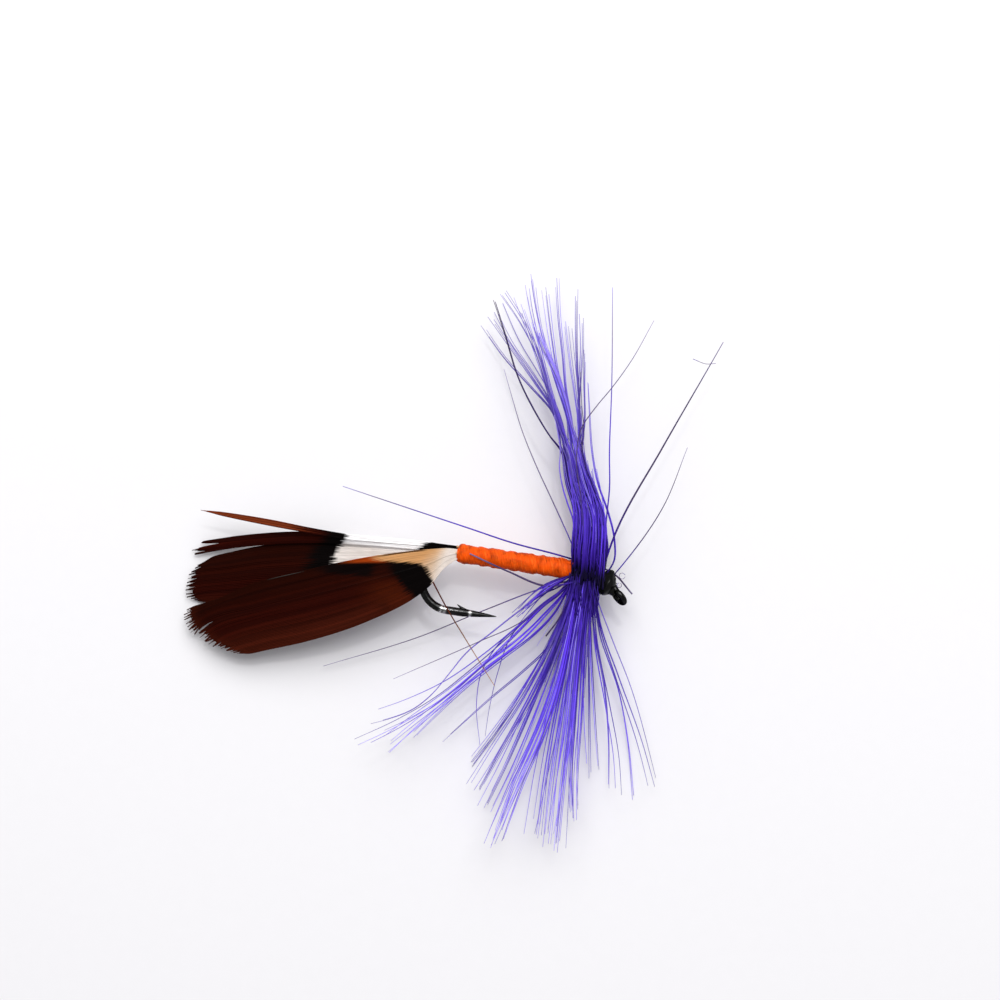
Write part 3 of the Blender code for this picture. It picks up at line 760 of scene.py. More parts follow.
# Half a vane barb's width: its share of the gap to the next, and its least and most.
BARB_OVERLAP = 0.68
BARB_HALF_WIDTHS = (0.034, 0.09)
# A quill's half widths at the tie and the tip.
QUILL_SIZES = (0.075, 0.024)
# The steps of the near feather's upper margin that catch the light.
EDGE_GLINT = slice(46, 58)

# Lower edges of the near feather's zones: places along u, and the edge's v at each.
PATCH_EDGE = (
    [-16.9, -16.0, -15.2, -14.4, -13.6, -12.6, -11.6],
    [-1.7, -2.2, -2.9, -3.8, -4.2, -4.4, -4.0],
)
RUST_EDGE = ([-21.5, -19.3, -17.5, -15.5], [-2.75, -2.2, -1.9, -1.62])
CREAM_EDGE = (
    [-19.0, -17.2, -16.0, -13.6, -12.8, -12.3, -12.0],
    [-1.5, -1.60, -1.55, -1.34, -1.75, -2.5, -4.5],
)


def tail_height(u, heights):
    """How high a tail piece lies at u: level past the bend, then drooping to the table."""
    root, tip = heights
    droop = (LEVEL_UNTIL_U - u) / (LEVEL_UNTIL_U - TAIL_TIP_U)
    height = root + (tip - root) * ease(droop * 0.75) / ease(0.75)
    return height * (1.0 - 0.35 * ease((u - TIE_U) / 1.2))


def lane_line(spec, share):
    """The path of the barb that lies this share of the way from the upper to the lower margin."""
    knots = []
    for station in spec["stations"]:
        line = np.array(station)
        places = along(line)
        knots.append([np.interp(share * places[-1], places, line[:, axis]) for axis in (0, 1)])
    return smooth(knots, LANE_STEPS)


def opened(shares, run, slits):
    """The shares pushed apart on either side of each slit, which opens toward the tip."""
    moved = shares.copy()
    for centre, depth, width in slits:
        away = shares - centre
        opening = ease((run - (1.0 - depth)) / depth)
        moved = moved + np.sign(away) * width * np.exp(-np.abs(away) / 0.05) * opening
    return moved


def vane_surface(spec, shares):
    """Paths of all the barbs as an array: barb, step, (u, v, w)."""
    grid = np.array([lane_line(spec, share) for share in shares])
    run = np.linspace(0, 1, LANE_STEPS)
    moved = opened(np.repeat(shares[:, None], LANE_STEPS, axis=1), run[None], spec["slits"])
    tooth = 0
    while tooth < len(shares):
        size = rng.integers(*spec["teeth"])
        group = slice(tooth, tooth + size)
        middle = moved[group].mean(axis=0, keepdims=True)
        depth = rng.uniform(*spec["tooth_depth"])
        pinch = 0.8 * np.clip((run - (1.0 - depth)) / depth, 0, 1)
        moved[group] = moved[group] + (middle - moved[group]) * pinch
        tooth += size
    paths = np.empty((len(shares), LANE_STEPS, 3))
    for step in range(LANE_STEPS):
        for axis in (0, 1):
            paths[:, step, axis] = np.interp(moved[:, step], shares, grid[:, step, axis])
    paths[:, :, 2] = tail_height(paths[:, :, 0], spec["heights"])
    crown = (2.0 * moved - 1.0) ** 2
    paths[:, :, 2] -= spec["cup"] * crown * ease(run * 1.6)[None]
    sweep = spec["droop"] * (1.0 - 0.8 * shares[:, None])
    paths[:, :, 1] -= sweep * ease((run - 0.93) / 0.09)[None]
    return paths


def mixed(under, over, share):
    """One colour laid over another by this share. Each may be one value or one for each point."""
    share = np.clip(share, 0, 1)[..., None]
    return under * (1.0 - share) + over * share


def dark_vane(share):
    """The mahogany part of a vane: nearly black above, redder toward its lower margin."""
    base = mixed(colour("mahogany_dark"), colour("mahogany"), share * 1.6)
    base = mixed(base, colour("mahogany_edge"), (share - 0.55) * 1.6)
    return base * (1.0 + 0.16 * math.sin(share * 31.0) + 0.12 * math.sin(share * 73.0 + 1.0))


def front_tint(path, share):
    """Colour zones of the near feather: cream at the tie, a black patch, then mahogany."""
    u, v = path[:, 0], path[:, 1]
    rag = rng.normal(0, 0.10)
    tip = ease((np.linspace(0, 1, len(path)) - 0.93) / 0.07)
    smudge = np.exp(-(((u + 15.9) / 0.55) ** 2) - ((v + 5.0) / 0.4) ** 2)
    glow = np.exp(-(((u + 15.5) / 1.9) ** 2) - ((v + 4.0) / 1.3) ** 2)
    streak = ease((v + 3.2 + rag - 0.05 * (u + 19)) / 0.35) * ease((u + 22.6) / 2.0)
    streak = streak * (1.0 - 0.7 * ease((u + 17.6 + rag) / 0.8) * ease((-14.9 - u) / 1.2))
    patch_low = np.interp(u + rag, *PATCH_EDGE)
    patch = ease((v - patch_low + rag) / 0.45) * ease((u + 16.6 + rag) / 1.3)
    rust = ease((v - np.interp(u, *RUST_EDGE)) / 0.25) * ease((u + 20.4) / 1.6)
    rust = rust * (1.0 - ease((u + 16.9) / 1.2))
    cream_low = np.interp(u + 0.3 * rag, *CREAM_EDGE)
    cream = ease((v - cream_low + 0.6 * rag) / 0.2) * ease((u + 18.0 + rag) / 1.5)
    edge = (share < 0.025) * ease((u + 17.5) / 1.5) * ease((-12.9 - u) / 0.8)
    layers = [
        ("mahogany_edge", 0.5 * tip),
        ("bar_black", (0.6 + 2.0 * rag) * smudge),
        ("orange_brown", (0.75 + 2.0 * rag) * glow),
        ("bar_black", 0.92 * streak),
        ("bar_black", patch),
        ("orange_red", rust),
        ("tan", cream),
        ("cream", cream * ease((u + 13.8 - 0.8 * (v + 1.0)) / 1.8)),
        ("shade_white", 0.8 * cream * ease((u + 12.3 - 0.25 * v) / 1.1)),
        ("mahogany", 0.8 * edge),
    ]
    tint = dark_vane(share)
    for name, cover in layers:
        tint = mixed(tint, colour(name), cover)
    return tint


def banded_tint(path, base):
    """Colour zones of the far feather, its strand and the slip: black, white, black, then base."""
    u, v = path[:, 0], path[:, 1]
    rag = rng.normal(0, 0.12)
    bar_right = np.interp(v, [-2.5, -1.3, -0.6, 0.2], [-20.75, -20.6, -20.25, -19.85]) + rag
    bar_left = np.interp(v, [-3.1, -1.5, 0.1], [-22.9, -22.5, -21.7]) + 2.0 * rag
    tint = mixed(base, colour("bar_black"), ease((u - bar_left) / 1.2 + 0.5))
    white = mixed(colour("white"), colour("shade_white"), ease((-0.30 - v) / 0.4))
    tint = mixed(tint, white, ease((u - bar_right) / 0.25))
    spot = ease((u + 13.75 + rag - 0.9 * v) / 0.3) * ease((v + 0.45) / 0.2)
    return mixed(tint, colour("bar_black"), spot)


def rear_tint(path, share):
    return banded_tint(path, dark_vane(0.75 * share))


def strand_tint(path, share):
    return banded_tint(path, dark_vane(0.3 + 0.3 * share))


def slip_tint(path, share):
    level = 0.45 * (0.75 + 0.6 * math.sin(share * 14.0)) + 0.8 * ease((path[:, 0] + 25.0) / 3.0)
    return banded_tint(path, mixed(colour("slip_brown"), colour("mahogany"), level))


def vane(spec, tint_of):
    """The paths of a vane's barbs, and the colours along each."""
    shares = np.linspace(0, 1, spec["lanes"])
    paths = vane_surface(spec, shares)
    return paths, [tint_of(path, share) for path, share in zip(paths, shares)]


def add_vane(bundle, paths, tints):
    """Barbs side by side, each a little wider than the space it has, so that they overlap."""
    gaps = np.linalg.norm(np.diff(paths[:, :, :2], axis=0), axis=2)
    gaps = np.concatenate([gaps[:1], (gaps[:-1] + gaps[1:]) / 2.0, gaps[-1:]])
    run = np.linspace(0, 1, LANE_STEPS)
    for number, path in enumerate(paths):
        keep = slice(LANE_STEPS - rng.integers(0, 3))
        wave = 0.012 * (-1.0) ** number + rng.normal(0, 0.012) * np.sin(run * rng.uniform(4, 9))
        lifted = path + np.array((0.0, 0.0, 1.0)) * wave[:, None]
        half = np.clip(gaps[number] * BARB_OVERLAP, *BARB_HALF_WIDTHS)
        half = half * (1.0 - 0.5 * ease((run - rng.uniform(0.955, 0.975)) / 0.03))
        tone = 0.5 + rng.normal(0, 0.22) + 0.1 * np.sin(run * rng.uniform(3, 8) + number)
        tone = np.clip(tone, 0, 1)
        thick = np.minimum(half, BARB_T)
        bundle.strand(lifted[keep], half[keep], thick[keep], tone=tone[keep], tint=tints[number][keep])


def make_feather(side, spec, tint_of):
    """A quill with a vane of separate barbs on each side of it."""
    body = f"{side}_feather"
    paths, tints = vane(spec, tint_of)
    split = int(round(spec["quill"] * spec["lanes"]))
    for half, rows in (("upper", slice(0, split)), ("lower", slice(split, None))):
        bundle = Bundle()
        add_vane(bundle, paths[rows], tints[rows])
        if side == "front" and half == "upper":
            glint = paths[1, EDGE_GLINT] + np.array((0.0, 0.03, 0.04))
            fade = np.sin(np.linspace(0.0, math.pi, len(glint)))
            bundle.strand(glint, 0.008 + 0.02 * fade, tint=colour("shade_white") * 0.07)
        bundle.piece(f"{side}_barbs_{half}", "feather", body, [f"{side}_vane_{half}"])
    line = paths[split][:-4] + np.array((0.0, 0.0, 0.01))
    sizes = np.linspace(*QUILL_SIZES, LANE_STEPS)[:-4]
    shaft = Bundle()
    shaft.strand(line, sizes, sizes * 0.8, sides=10, tint=tints[split][:-4] * 0.9)
    shaft.piece(f"{side}_shaft", "quill", body, [f"{side}_feather_quill"])


def make_ribbon(name, spec, tint_of, body, node):
    """A narrow piece of vane with no quill of its own."""
    bundle = Bundle()
    add_vane(bundle, *vane(spec, tint_of))
    bundle.piece(name, "feather", body, [node])


def make_loose_barb():
    """A barb that has come away from the near feather and hangs over the bend."""
    knots = [(-12.25, -2.6, 0.8), (-10.97, -4.35, 0.98), (-8.91, -6.88, 0.75), (-6.05, -10.3, 0.2)]
    run = np.linspace(0, 1, 60)
    tint = mixed(colour("mahogany_edge"), colour("tan"), 0.75 * ease((run - 0.2) / 0.8))
    taper = 1.0 - 0.6 * run
    bundle = Bundle()
    bundle.strand(smooth(knots, 60), 0.062 * taper, 0.04 * taper, tint=tint, sides=8)
    bundle.piece("hanging_barb", "feather", "front_feather", ["loose_tail_barb"])


def make_tail():
    """The far feather first, then what lies over it, then the near feather."""
    make_feather("rear", REAR_FEATHER, rear_tint)
    make_ribbon("split_strand", STRAND, strand_tint, "rear_feather", "rear_split_strand")
    make_ribbon("top_slip_barbs", SLIP, slip_tint, "top_slip_feather", "top_slip")
    make_feather("front", FRONT_FEATHER, front_tint)
    make_loose_barb()


# ---- Hackle ----

# The upper barbs pass through a narrow neck, whose two edges are these (u, v) points.
NECK_LEFT = [(-1.28, 0.9), (-1.74, 4.8), (-2.68, 6.9), (-3.45, 9.4)]
NECK_RIGHT = [(1.30, 1.1), (0.75, 5.0), (-0.45, 7.3), (-1.65, 9.8)]

# Each lock: its place across the neck from 0 to 1, its knots past the neck, its number of barbs,
# how far they spread at the tip, their shade from 0 to 1 and their height at the tip.
UPPER_LOCKS = {
    "far_left": (0.04, [(-4.6, 12.6), (-6.4, 14.2), (-9.1, 16.5), (-11.4, 19)], 3, 0.25, 0.35, -2.6),
    "left_edge": (
        0.08, [(-4.4, 10.4), (-5.9, 12.2), (-7.8, 15), (-9.15, 17.9), (-10.1, 19.9), (-10.8, 21.3)], 3, 0.1,
        0.45, 0.6,
    ),
    "left_low": (0.16, [(-4.5, 12.6), (-6.4, 14.8), (-8.6, 17.2), (-11.1, 19.9)], 3, 0.35, 0.4, -1.6),
    "left_high": (0.22, [(-4.6, 12.9), (-7, 15.8), (-8.8, 17.7), (-11.3, 21.2)], 3, 0.3, 0.45, -2.9),
    "left_fan": (
        0.3, [(-4.3, 12.2), (-5.2, 14.4), (-6.4, 17.1), (-8, 19.5), (-9.9, 21.7)], 4, 0.35, 0.4, -0.6,
    ),
    "inner_left": (
        0.36, [(-3.7, 11.5), (-4.7, 13.5), (-5.9, 16.1), (-6.9, 18.2), (-8.4, 21.2)], 4, 0.4, 0.4, -1.4,
    ),
    "tall_left": (
        0.42, [(-3.9, 12.1), (-5.2, 15), (-6.4, 17.9), (-7.4, 20.5), (-8.1, 22.9)], 4, 0.35, 0.6, 0.2,
    ),
    "tall_middle": (
        0.5, [(-3.2, 11.8), (-4.7, 15), (-5.9, 17.6), (-7, 20.5), (-7.9, 23.6)], 4, 0.35, 0.6, -1,
    ),
    "bright_clump": (
        0.74, [(-2.8, 11.5), (-3.7, 13.7), (-4.7, 15.7), (-5.9, 17.6), (-6.9, 19.7)], 13, 0.3, 0.85, 1.2,
    ),
    "middle": (0.55, [(-3, 11.5), (-4.1, 14.5), (-4.9, 16.6), (-5.5, 18.6), (-6.7, 23)], 4, 0.35, 0.55, -0.4),
    "upright": (0.62, [(-2.8, 11.8), (-3.7, 14.6), (-4.3, 17.4), (-5, 20.3), (-5.6, 23.5)], 4, 0.35, 0.6, -2),
    "right_short": (0.8, [(-2.1, 11.2), (-2.7, 13.8), (-3.5, 16.7), (-4.6, 21)], 4, 0.3, 0.55, -3),
    "right_tall": (0.88, [(-2.2, 12), (-2.9, 15.3), (-3.5, 18.6), (-4.1, 22.9)], 3, 0.25, 0.35, 1),
    "right_inner": (
        0.76, [(-2.1, 11.2), (-2.45, 13), (-2.7, 15.4), (-2.95, 18.4), (-3.4, 21.2)], 4, 0.3, 0.5, -1.2,
    ),
    "right_dark": (0.92, [(-1.75, 10.6), (-2.35, 13.6), (-2.9, 16.6)], 3, 0.18, 0.45, 1.5),
    "right_edge": (0.96, [(-1.85, 12.2), (-2.3, 15.1), (-2.7, 18.2)], 4, 0.25, 0.4, -2.2),
}

# Single lines of barbs along the neck's edges.
LEFT_BOW = [
    (-0.8, 0.3), (-1.3, 2.5), (-1.69, 4.1), (-2.31, 5.3), (-2.95, 6.7), (-3.35, 8.0), (-3.5, 9.4),
    (-4.4, 12.2),
]
RIGHT_BOW = [
    (1.6, -0.1), (2.15, 1.2), (1.95, 2.9), (1.05, 5.2), (0.0, 7.2), (-0.8, 9.5), (-1.6, 13.1), (-2.1, 15.5),
]
RIGHT_SLANT = [
    (1.5, 0.5), (1.46, 2.2), (0.8, 4.3), (-0.05, 6.5), (-1.2, 8.55), (-1.8, 10.6), (-2.4, 13.6),
]

# The lower locks have no neck: their knots follow on from the stem, and the rest is as above.
LOWER_LOCKS = {
    "front_1": ([(1.1, -1.7), (2.5, -4.4), (5, -8.8), (8.6, -17)], 1, 0.1, 0.35, -2.6),
    "front_2": ([(1, -1.7), (1.7, -4.1), (3.7, -8.3), (6.4, -13.8), (7.9, -17.5)], 2, 0.4, 0.4, -1.2),
    "front_3": ([(1, -1.9), (1.8, -4.7), (4.1, -9.3), (5.5, -13.4), (6.6, -17.8)], 2, 0.35, 0.5, -3.2),
    "front_4": ([(0.9, -1.9), (1.6, -5.1), (3.4, -10.3), (4.8, -14.5), (5.6, -18.2)], 2, 0.3, 0.35, 0.4),
    "front_5": ([(0.7, -1.8), (1.3, -4.5), (2.8, -9), (3.8, -13.4), (4.4, -17.4)], 3, 0.35, 0.45, -2),
    "inner_front": ([(0.5, -1.6), (1.2, -6.4), (2.1, -12), (2.9, -16.8)], 5, 0.45, 0.5, -3.1),
    "clump_front": (
        [(0.3, -1.5), (0.6, -8.1), (0.9, -12.2), (1.3, -16.8), (1.9, -20.4)], 11, 0.55, 0.58, -0.6,
    ),
    "clump_middle": ([(0, -1.5), (0.15, -8.1), (0.4, -12.2), (0.5, -16), (0.8, -22.5)], 12, 0.42, 0.58, 0.6),
    "middle": ([(-0.3, -1.5), (-0.4, -6.7), (-0.7, -12.4), (-0.8, -16.2), (-0.7, -22.6)], 11, 0.5, 0.5, -1.6),
    "clump_rear": (
        [(-0.5, -1.5), (-0.8, -5.8), (-1.1, -9), (-1.9, -13.5), (-3.1, -17.7), (-4.3, -23)], 15, 0.46, 0.7,
        1,
    ),
    "rear_inner": (
        [(-0.8, -1.9), (-1.35, -6), (-2.6, -11.2), (-4.2, -17), (-5.3, -20.4)], 10, 0.6, 0.5, -2.4,
    ),
    "rear_1": ([(-0.9, -1.8), (-1.6, -6), (-3, -10.8), (-4.9, -15.6), (-6.2, -19)], 7, 0.55, 0.4, -0.6),
    "rear_2": ([(-1, -1.8), (-1.75, -5.4), (-3.4, -10.1), (-5.5, -14.6), (-7, -17.4)], 5, 0.4, 0.4, -3.1),
}
BELLY_LOCKS = {
    "low": (
        [(-1.3, -1.9), (-2.1, -3.9), (-3.3, -5.6), (-5.6, -8), (-7.9, -10.4), (-10.5, -13.6), (-12.3, -16)],
        3, 0.35, 0.45, -3,
    ),
    "straight": (
        [(-0.9, -2), (-1.3, -4.4), (-2.4, -6.8), (-3.9, -8.7), (-6.3, -11.4), (-9.7, -15.6)], 2, 0.15, 0.2,
        -1.6,
    ),
    "main": (
        [(-1.5, -1.5), (-3.3, -3.4), (-5.3, -5.9), (-8.2, -9.3), (-10.7, -11.9), (-13.6, -14.2),
        (-17, -16.4)], 5, 0.8, 0.5, 0.2,
    ),
    "upper": (
        [(-1.7, -1.3), (-3.2, -2.3), (-5.2, -4.2), (-7, -6.1), (-8.7, -7.9), (-9.9, -9.9), (-11, -11.7),
        (-12.3, -13.1), (-14.2, -14.2), (-15.9, -14.9)], 2, 0.2, 0.35, 1,
    ),
    "broad": (
        [(-1.4, -1.7), (-2.8, -3.8), (-4.9, -6.4), (-7.1, -8.4), (-9.7, -11.1), (-12.4, -13.7),
        (-14.9, -16.2)], 5, 1.1, 0.75, -0.8,
    ),
    "curved": (
        [(-1.6, -1.8), (-3.4, -3.7), (-5.2, -5.9), (-5.9, -8.9), (-6.2, -12.1), (-6.2, -15.5)], 1, 0.1, 0.5,
        -2.4,
    ),
    "bowed": (
        [(-1.7, -1.6), (-4.2, -4.5), (-6.4, -7.2), (-7.3, -9.6), (-7.3, -12), (-6.5, -15.5)], 1, 0.1, 0.5,
        -3.1,
    ),
}

# Single barbs: knots, thickness, shade, look and a body, if any. A barb given a body is not hung on the root and
# is tied to no body.
STRAYS = {
    "front_long": (
        [(1.3, 0.4, 0.5), (1.9, 3.4, 0.8), (4.7, 10.9, 1.1), (7.6, 18.2, 1.5), (8.35, 20.1, 1.6)], 0.08,
        0.3, "grey", None,
    ),
    "front_short": (
        [(2.3, 0.1, 0.8), (3.1, 1.4, 0.9), (5.5, 6.3, 1.3), (6.7, 11.2, 1.6)], 0.048, 0.5, "grey", None,
    ),
    "back_long": (
        [(-1.2, 0.85, 0.6), (-2.6, 1.05, 0.9), (-6.1, 1.45, 1.1), (-10, 2.15, 1.3), (-15.3, 3.1, 1.5),
        (-20.6, 4.05, 1.6)], 0.066, 0.25, "single", None,
    ),
    "belly_long": (
        [(-1.2, -0.9, -0.3), (-2.8, -1.6, -0.9), (-7.7, -4.3, -1.4), (-12.6, -7.2, -2.2),
        (-20.2, -10.8, -2.9)], 0.048, 0.6, "grey", None,
    ),
    "upright": (
        [(1.2, 0.6, 0.5), (1.15, 2.2, 0.9), (1, 4.7, 1.1), (0.9, 7, 1.3), (0.5, 9.7, 1.4),
        (-0.1, 15.1, 1.6), (-1.2, 23.2, 1.8)], 0.058, 0.4, "single", "upper_hackle",
    ),
    "crossing": (
        [(-0.3, 0.6, 0.5), (-1.2, 5.5, 1.5), (-2.15, 9.3, 2.1), (-2.1, 11.4, 2.2), (-1.2, 13.3, 2.3),
        (-0.1, 15.1, 2.4), (1.1, 17.4, 2.5), (2.5, 21, 2.6)], 0.05, 0.6, "grey", "upper_hackle",
    ),
    "left": (
        [(-0.6, 0.5, 0.3), (-1.47, 2.05, 0.4), (-3.4, 5.1, 0.5), (-5.27, 7.98, 0.5), (-6.85, 10.7, 0.45),
        (-8.1, 13.4, 0.4), (-9, 15.4, 0.3)], 0.046, 0.8, "grey", "upper_hackle",
    ),
    "belly_short": (
        [(-1.2, -1.2, 0.6), (-2.6, -2.7, 0.9), (-4.9, -5, 1.2), (-7.7, -6.8, 1.2), (-14.3, -10.9, 0.6)],
        0.042, 0.7, "grey", "lower_hackle",
    ),
}


def barb(bundle, knots, root_r, tone, reach=1.0, tip_share=BARB_TIP_SHARE):
    """One tapering barb through its knots, ending this share of the way along them."""
    path = smooth(knots, BARB_STEPS)
    steps = np.arange(BARB_STEPS)
    path = np.stack([np.interp(steps * reach, steps, path[:, axis]) for axis in range(3)], 1)
    path[:, 2] = np.maximum(path[:, 2], TABLE_W + TABLE_GAP)
    size = root_r * (1.0 - (1.0 - tip_share) * (steps / steps[-1]) ** 1.6)
    bundle.strand(path, size * 1.05, size * 0.85, tone=tone)


def shade_near(middle, scatter):
    """A random shade round a middle one, kept between 0 and 1."""
    return float(np.clip(middle + rng.normal(0, scatter), 0, 1))


def spread_barbs(flat_knots, count, spread, shade, tip_w, root_angles, thick=1.0):
    """Knots, thickness and tone of each barb of a lock, from its middle line of (u, v) knots."""
    line = np.array(flat_knots)
    part = along(line)
    part = part / part[-1]
    made = []
    for number in range(count):
        aim = rng.normal(0, spread, 2) if number else np.zeros(2)
        lean = rng.normal(0, 0.16 * min(spread * 3.0, 1.0)) if number else 0.0
        knots = line + aim * part[:, None] ** 1.1
        knots[:, 0] += lean * np.sin(part * math.pi)
        end_w = tip_w + rng.normal(0, 0.6)
        root_w = BARB_START_R * math.sin(rng.uniform(*root_angles))
        heights = root_w + (end_w - root_w) * part**1.2
        heights = heights + 0.35 * np.sin(part * math.pi) * rng.normal(0, 1.0)
        tone = shade_near(shade - 0.2 * (number == 0), 0.24)
        made.append((np.column_stack([knots, heights]), BARB_ROOT_R * thick * rng.uniform(0.8, 1.1), tone))
    return made


def hang(nodes):
    """Hides each CAD node; the locks drawn before stand in for them."""
    for node in nodes:
        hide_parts(node)


def tufts(body):
    """The CAD nodes of a body that are tufts."""
    return [node for node in frame["record"]["behaviour"]["bodies"][body] if "tuft" in node]


def make_lock(name, body, barbs, pale, look):
    """A lock of barbs with a few finer, paler ones among them. Gives back its object and middle."""
    bundle = Bundle()
    for knots, size, tone in barbs:
        barb(bundle, knots, size, tone, rng.uniform(0.93, 1.0))
    down = Bundle()
    made = bundle.piece(name, look, body)
    for knots, size, tone in pale:
        barb(down, knots, size * 0.6, tone, rng.uniform(0.6, 0.9))
    down.piece(f"{name}_down", "pale", body)
    return made, bundle.middle()


def neck_knots(lane, crossing=0.0):
    """The knots of a barb in the neck, which may cross its neighbours near the root."""
    knots = []
    for level, (left, right) in enumerate(zip(NECK_LEFT, NECK_RIGHT)):
        place = np.clip(lane + crossing * (1.0 - level / 3.0), 0, 1)
        knots.append(np.array(left) + (np.array(right) - np.array(left)) * place)
    return knots


def upper_barbs(lane, tips, count, spread, shade, tip_w, thick=1.0):
    """The barbs of an upper lock: from the stem, through the neck, to the tips."""
    made = []
    for number in range(count):
        first = number == 0
        own_lane = lane + (0.0 if first else rng.normal(0, 0.07))
        crossing = rng.normal(0, 0.05 if first else 0.2)
        root_place = np.clip(own_lane + crossing * 1.15, 0, 1)
        angle = rng.uniform(-2.4, 2.4)
        root = (-1.15 + 2.3 * root_place, BARB_START_R * math.cos(angle) - 0.5 * root_place)
        knots = [root, *neck_knots(own_lane, crossing), *tips]
        ((full, size, tone),) = spread_barbs(knots, 1, 0.0, shade, tip_w, (-1, 1), thick)
        part = np.linspace(0, 1, len(knots))
        if not first:
            full[:, :2] += rng.normal(0, spread, 2) * (part**2.2)[:, None]
        full[0, 2] = BARB_START_R * math.sin(angle) + 0.3 * root_place
        full[1:5, 2] += rng.normal(0, 0.42)
        made.append((full, size, tone))
    return made


def overlay_barbs():
    """Barbs from the near side of the stem, which pass over the collar and up into the neck."""
    made = []
    for lane in np.linspace(0.0, 1.06, OVERLAY_BARBS):
        place = float(np.clip(lane + rng.normal(0, 0.04), -0.05, 1.08))
        root = (-1.1 + 2.5 * place, -0.15 - 0.95 * place + rng.normal(0, 0.28), 0.66 + 0.28 * place)
        middle, high, *_ = neck_knots(place)
        over = (middle[0] * 1.02, middle[1], 1.0 + rng.normal(0, 0.12))
        top = (*high, 1.1 + rng.normal(0, 0.3))
        tip = (high[0] - 1.2, high[1] + rng.uniform(1.5, 4.5), 0.9)
        tone = shade_near(0.25 + 0.3 * place, 0.2)
        made.append((np.array([root, over, top, tip]), BARB_ROOT_R * rng.uniform(0.85, 1.1), tone))
    return made


def neck_fill():
    """Short barbs that close the neck from side to side."""
    made = []
    for lane in np.linspace(0.0, 0.98, NECK_FILL_BARBS):
        tip = neck_knots(lane)[-1] + np.array((-0.7, rng.uniform(0.8, 2.4)))
        made += upper_barbs(lane, [tip], 1, 0.4, 0.5, rng.uniform(-1.2, 1.0), 1.05)
    return made


def make_upper_hackle():
    """The wing-like upper half: locks that fan out above a narrow neck."""
    body = "upper_hackle"
    for title, (lane, tips, count, spread, shade, tip_w) in UPPER_LOCKS.items():
        thick = 1.25 if title == "left_edge" else 1.0
        barbs = upper_barbs(lane, tips, count, spread, shade, tip_w, thick)
        pale = upper_barbs(lane, tips, max(1, count // 3), spread * 1.8, 0.6, tip_w - 0.4)
        look = "dusk" if title in ("left_edge", "right_dark") else "violet"
        make_lock(f"upper_barbs_{title}", body, barbs, pale, look)
    fill = neck_fill()
    pale = upper_barbs(0.5, [(-3.4, 12.0)], 8, 0.6, 0.6, 0.0)
    make_lock("upper_barbs_short", body, fill, pale, "violet")
    over = overlay_barbs()
    make_lock("upper_barbs_over_head", body, over, over[:2], "root")
    edges = spread_barbs(LEFT_BOW, 2, 0.1, 0.2, 0.9, (-1, 1))
    edges += spread_barbs(RIGHT_BOW, 2, 0.25, 0.3, 1.2, (0.2, 1))
    edges += spread_barbs(RIGHT_SLANT, 3, 0.2, 0.15, 1.9, (0.6, 1.5))
    pale = spread_barbs(LEFT_BOW, 1, 0.1, 0.3, 0.4, (-1, 1))
    make_lock("upper_barbs_edges", body, edges, pale, "violet")
    hang(tufts(body))


def lower_fill():
    """Shorter barbs that close the root of the lower half."""
    made = []
    for _ in range(LOWER_FILL_BARBS):
        place = rng.uniform(0.0, 1.0)
        reach = rng.uniform(0.35, 1.0)
        root = np.array((-0.95 + 1.9 * place, 0.2))
        tip = np.array((-3.9 + 5.7 * place, -11.0))
        middle = np.array((root[0] * 1.05 - 0.1 + 0.08 * tip[0], -3.2))
        line = [root, middle, middle + (tip - middle) * reach]
        made += spread_barbs(line, 1, 0.3, 0.12, rng.uniform(-2.4, 0.9) * reach, (-1.5, 1.5))
    return made


def make_lower_hackle():
    """The lower half: a broad fan below the hook, and a lock that sweeps back under the belly."""
    body = "lower_hackle"
    for group, locks in (("lower", LOWER_LOCKS), ("belly", BELLY_LOCKS)):
        for title, (knots, count, spread, shade, tip_w) in locks.items():
            root = (float(np.clip(knots[0][0] * 0.6, -0.8, 0.8)), -0.15)
            barbs = spread_barbs([root, *knots], count, spread, shade, tip_w, (-1.5, 1.5))
            veil = max(1, count // 3)
            pale = spread_barbs([root, *knots], veil, spread * 1.5, 0.6, tip_w - 0.3, (-1.5, 1.5))
            make_lock(f"{group}_barbs_{title}", body, barbs, pale, "low")
    pale = spread_barbs([(-0.2, 0.0), (-0.7, -4.0), (-1.6, -9.5)], 14, 1.0, 0.5, -0.8, (-1, 1))
    make_lock("lower_barbs_short", body, lower_fill(), pale, "low")
    blunt = Bundle()
    knots = [(-0.5, -0.3, 0.5), (-1.2, -2.8, 1.0), (-1.8, -4.4, 1.3), (-2.5, -5.65, 1.4)]
    blunt.strand(smooth(knots, 20), 0.06, 0.05, tone=0.1, sides=8)
    blunt.piece("blunt_barb", "dusk", body)
    hang(tufts(body))


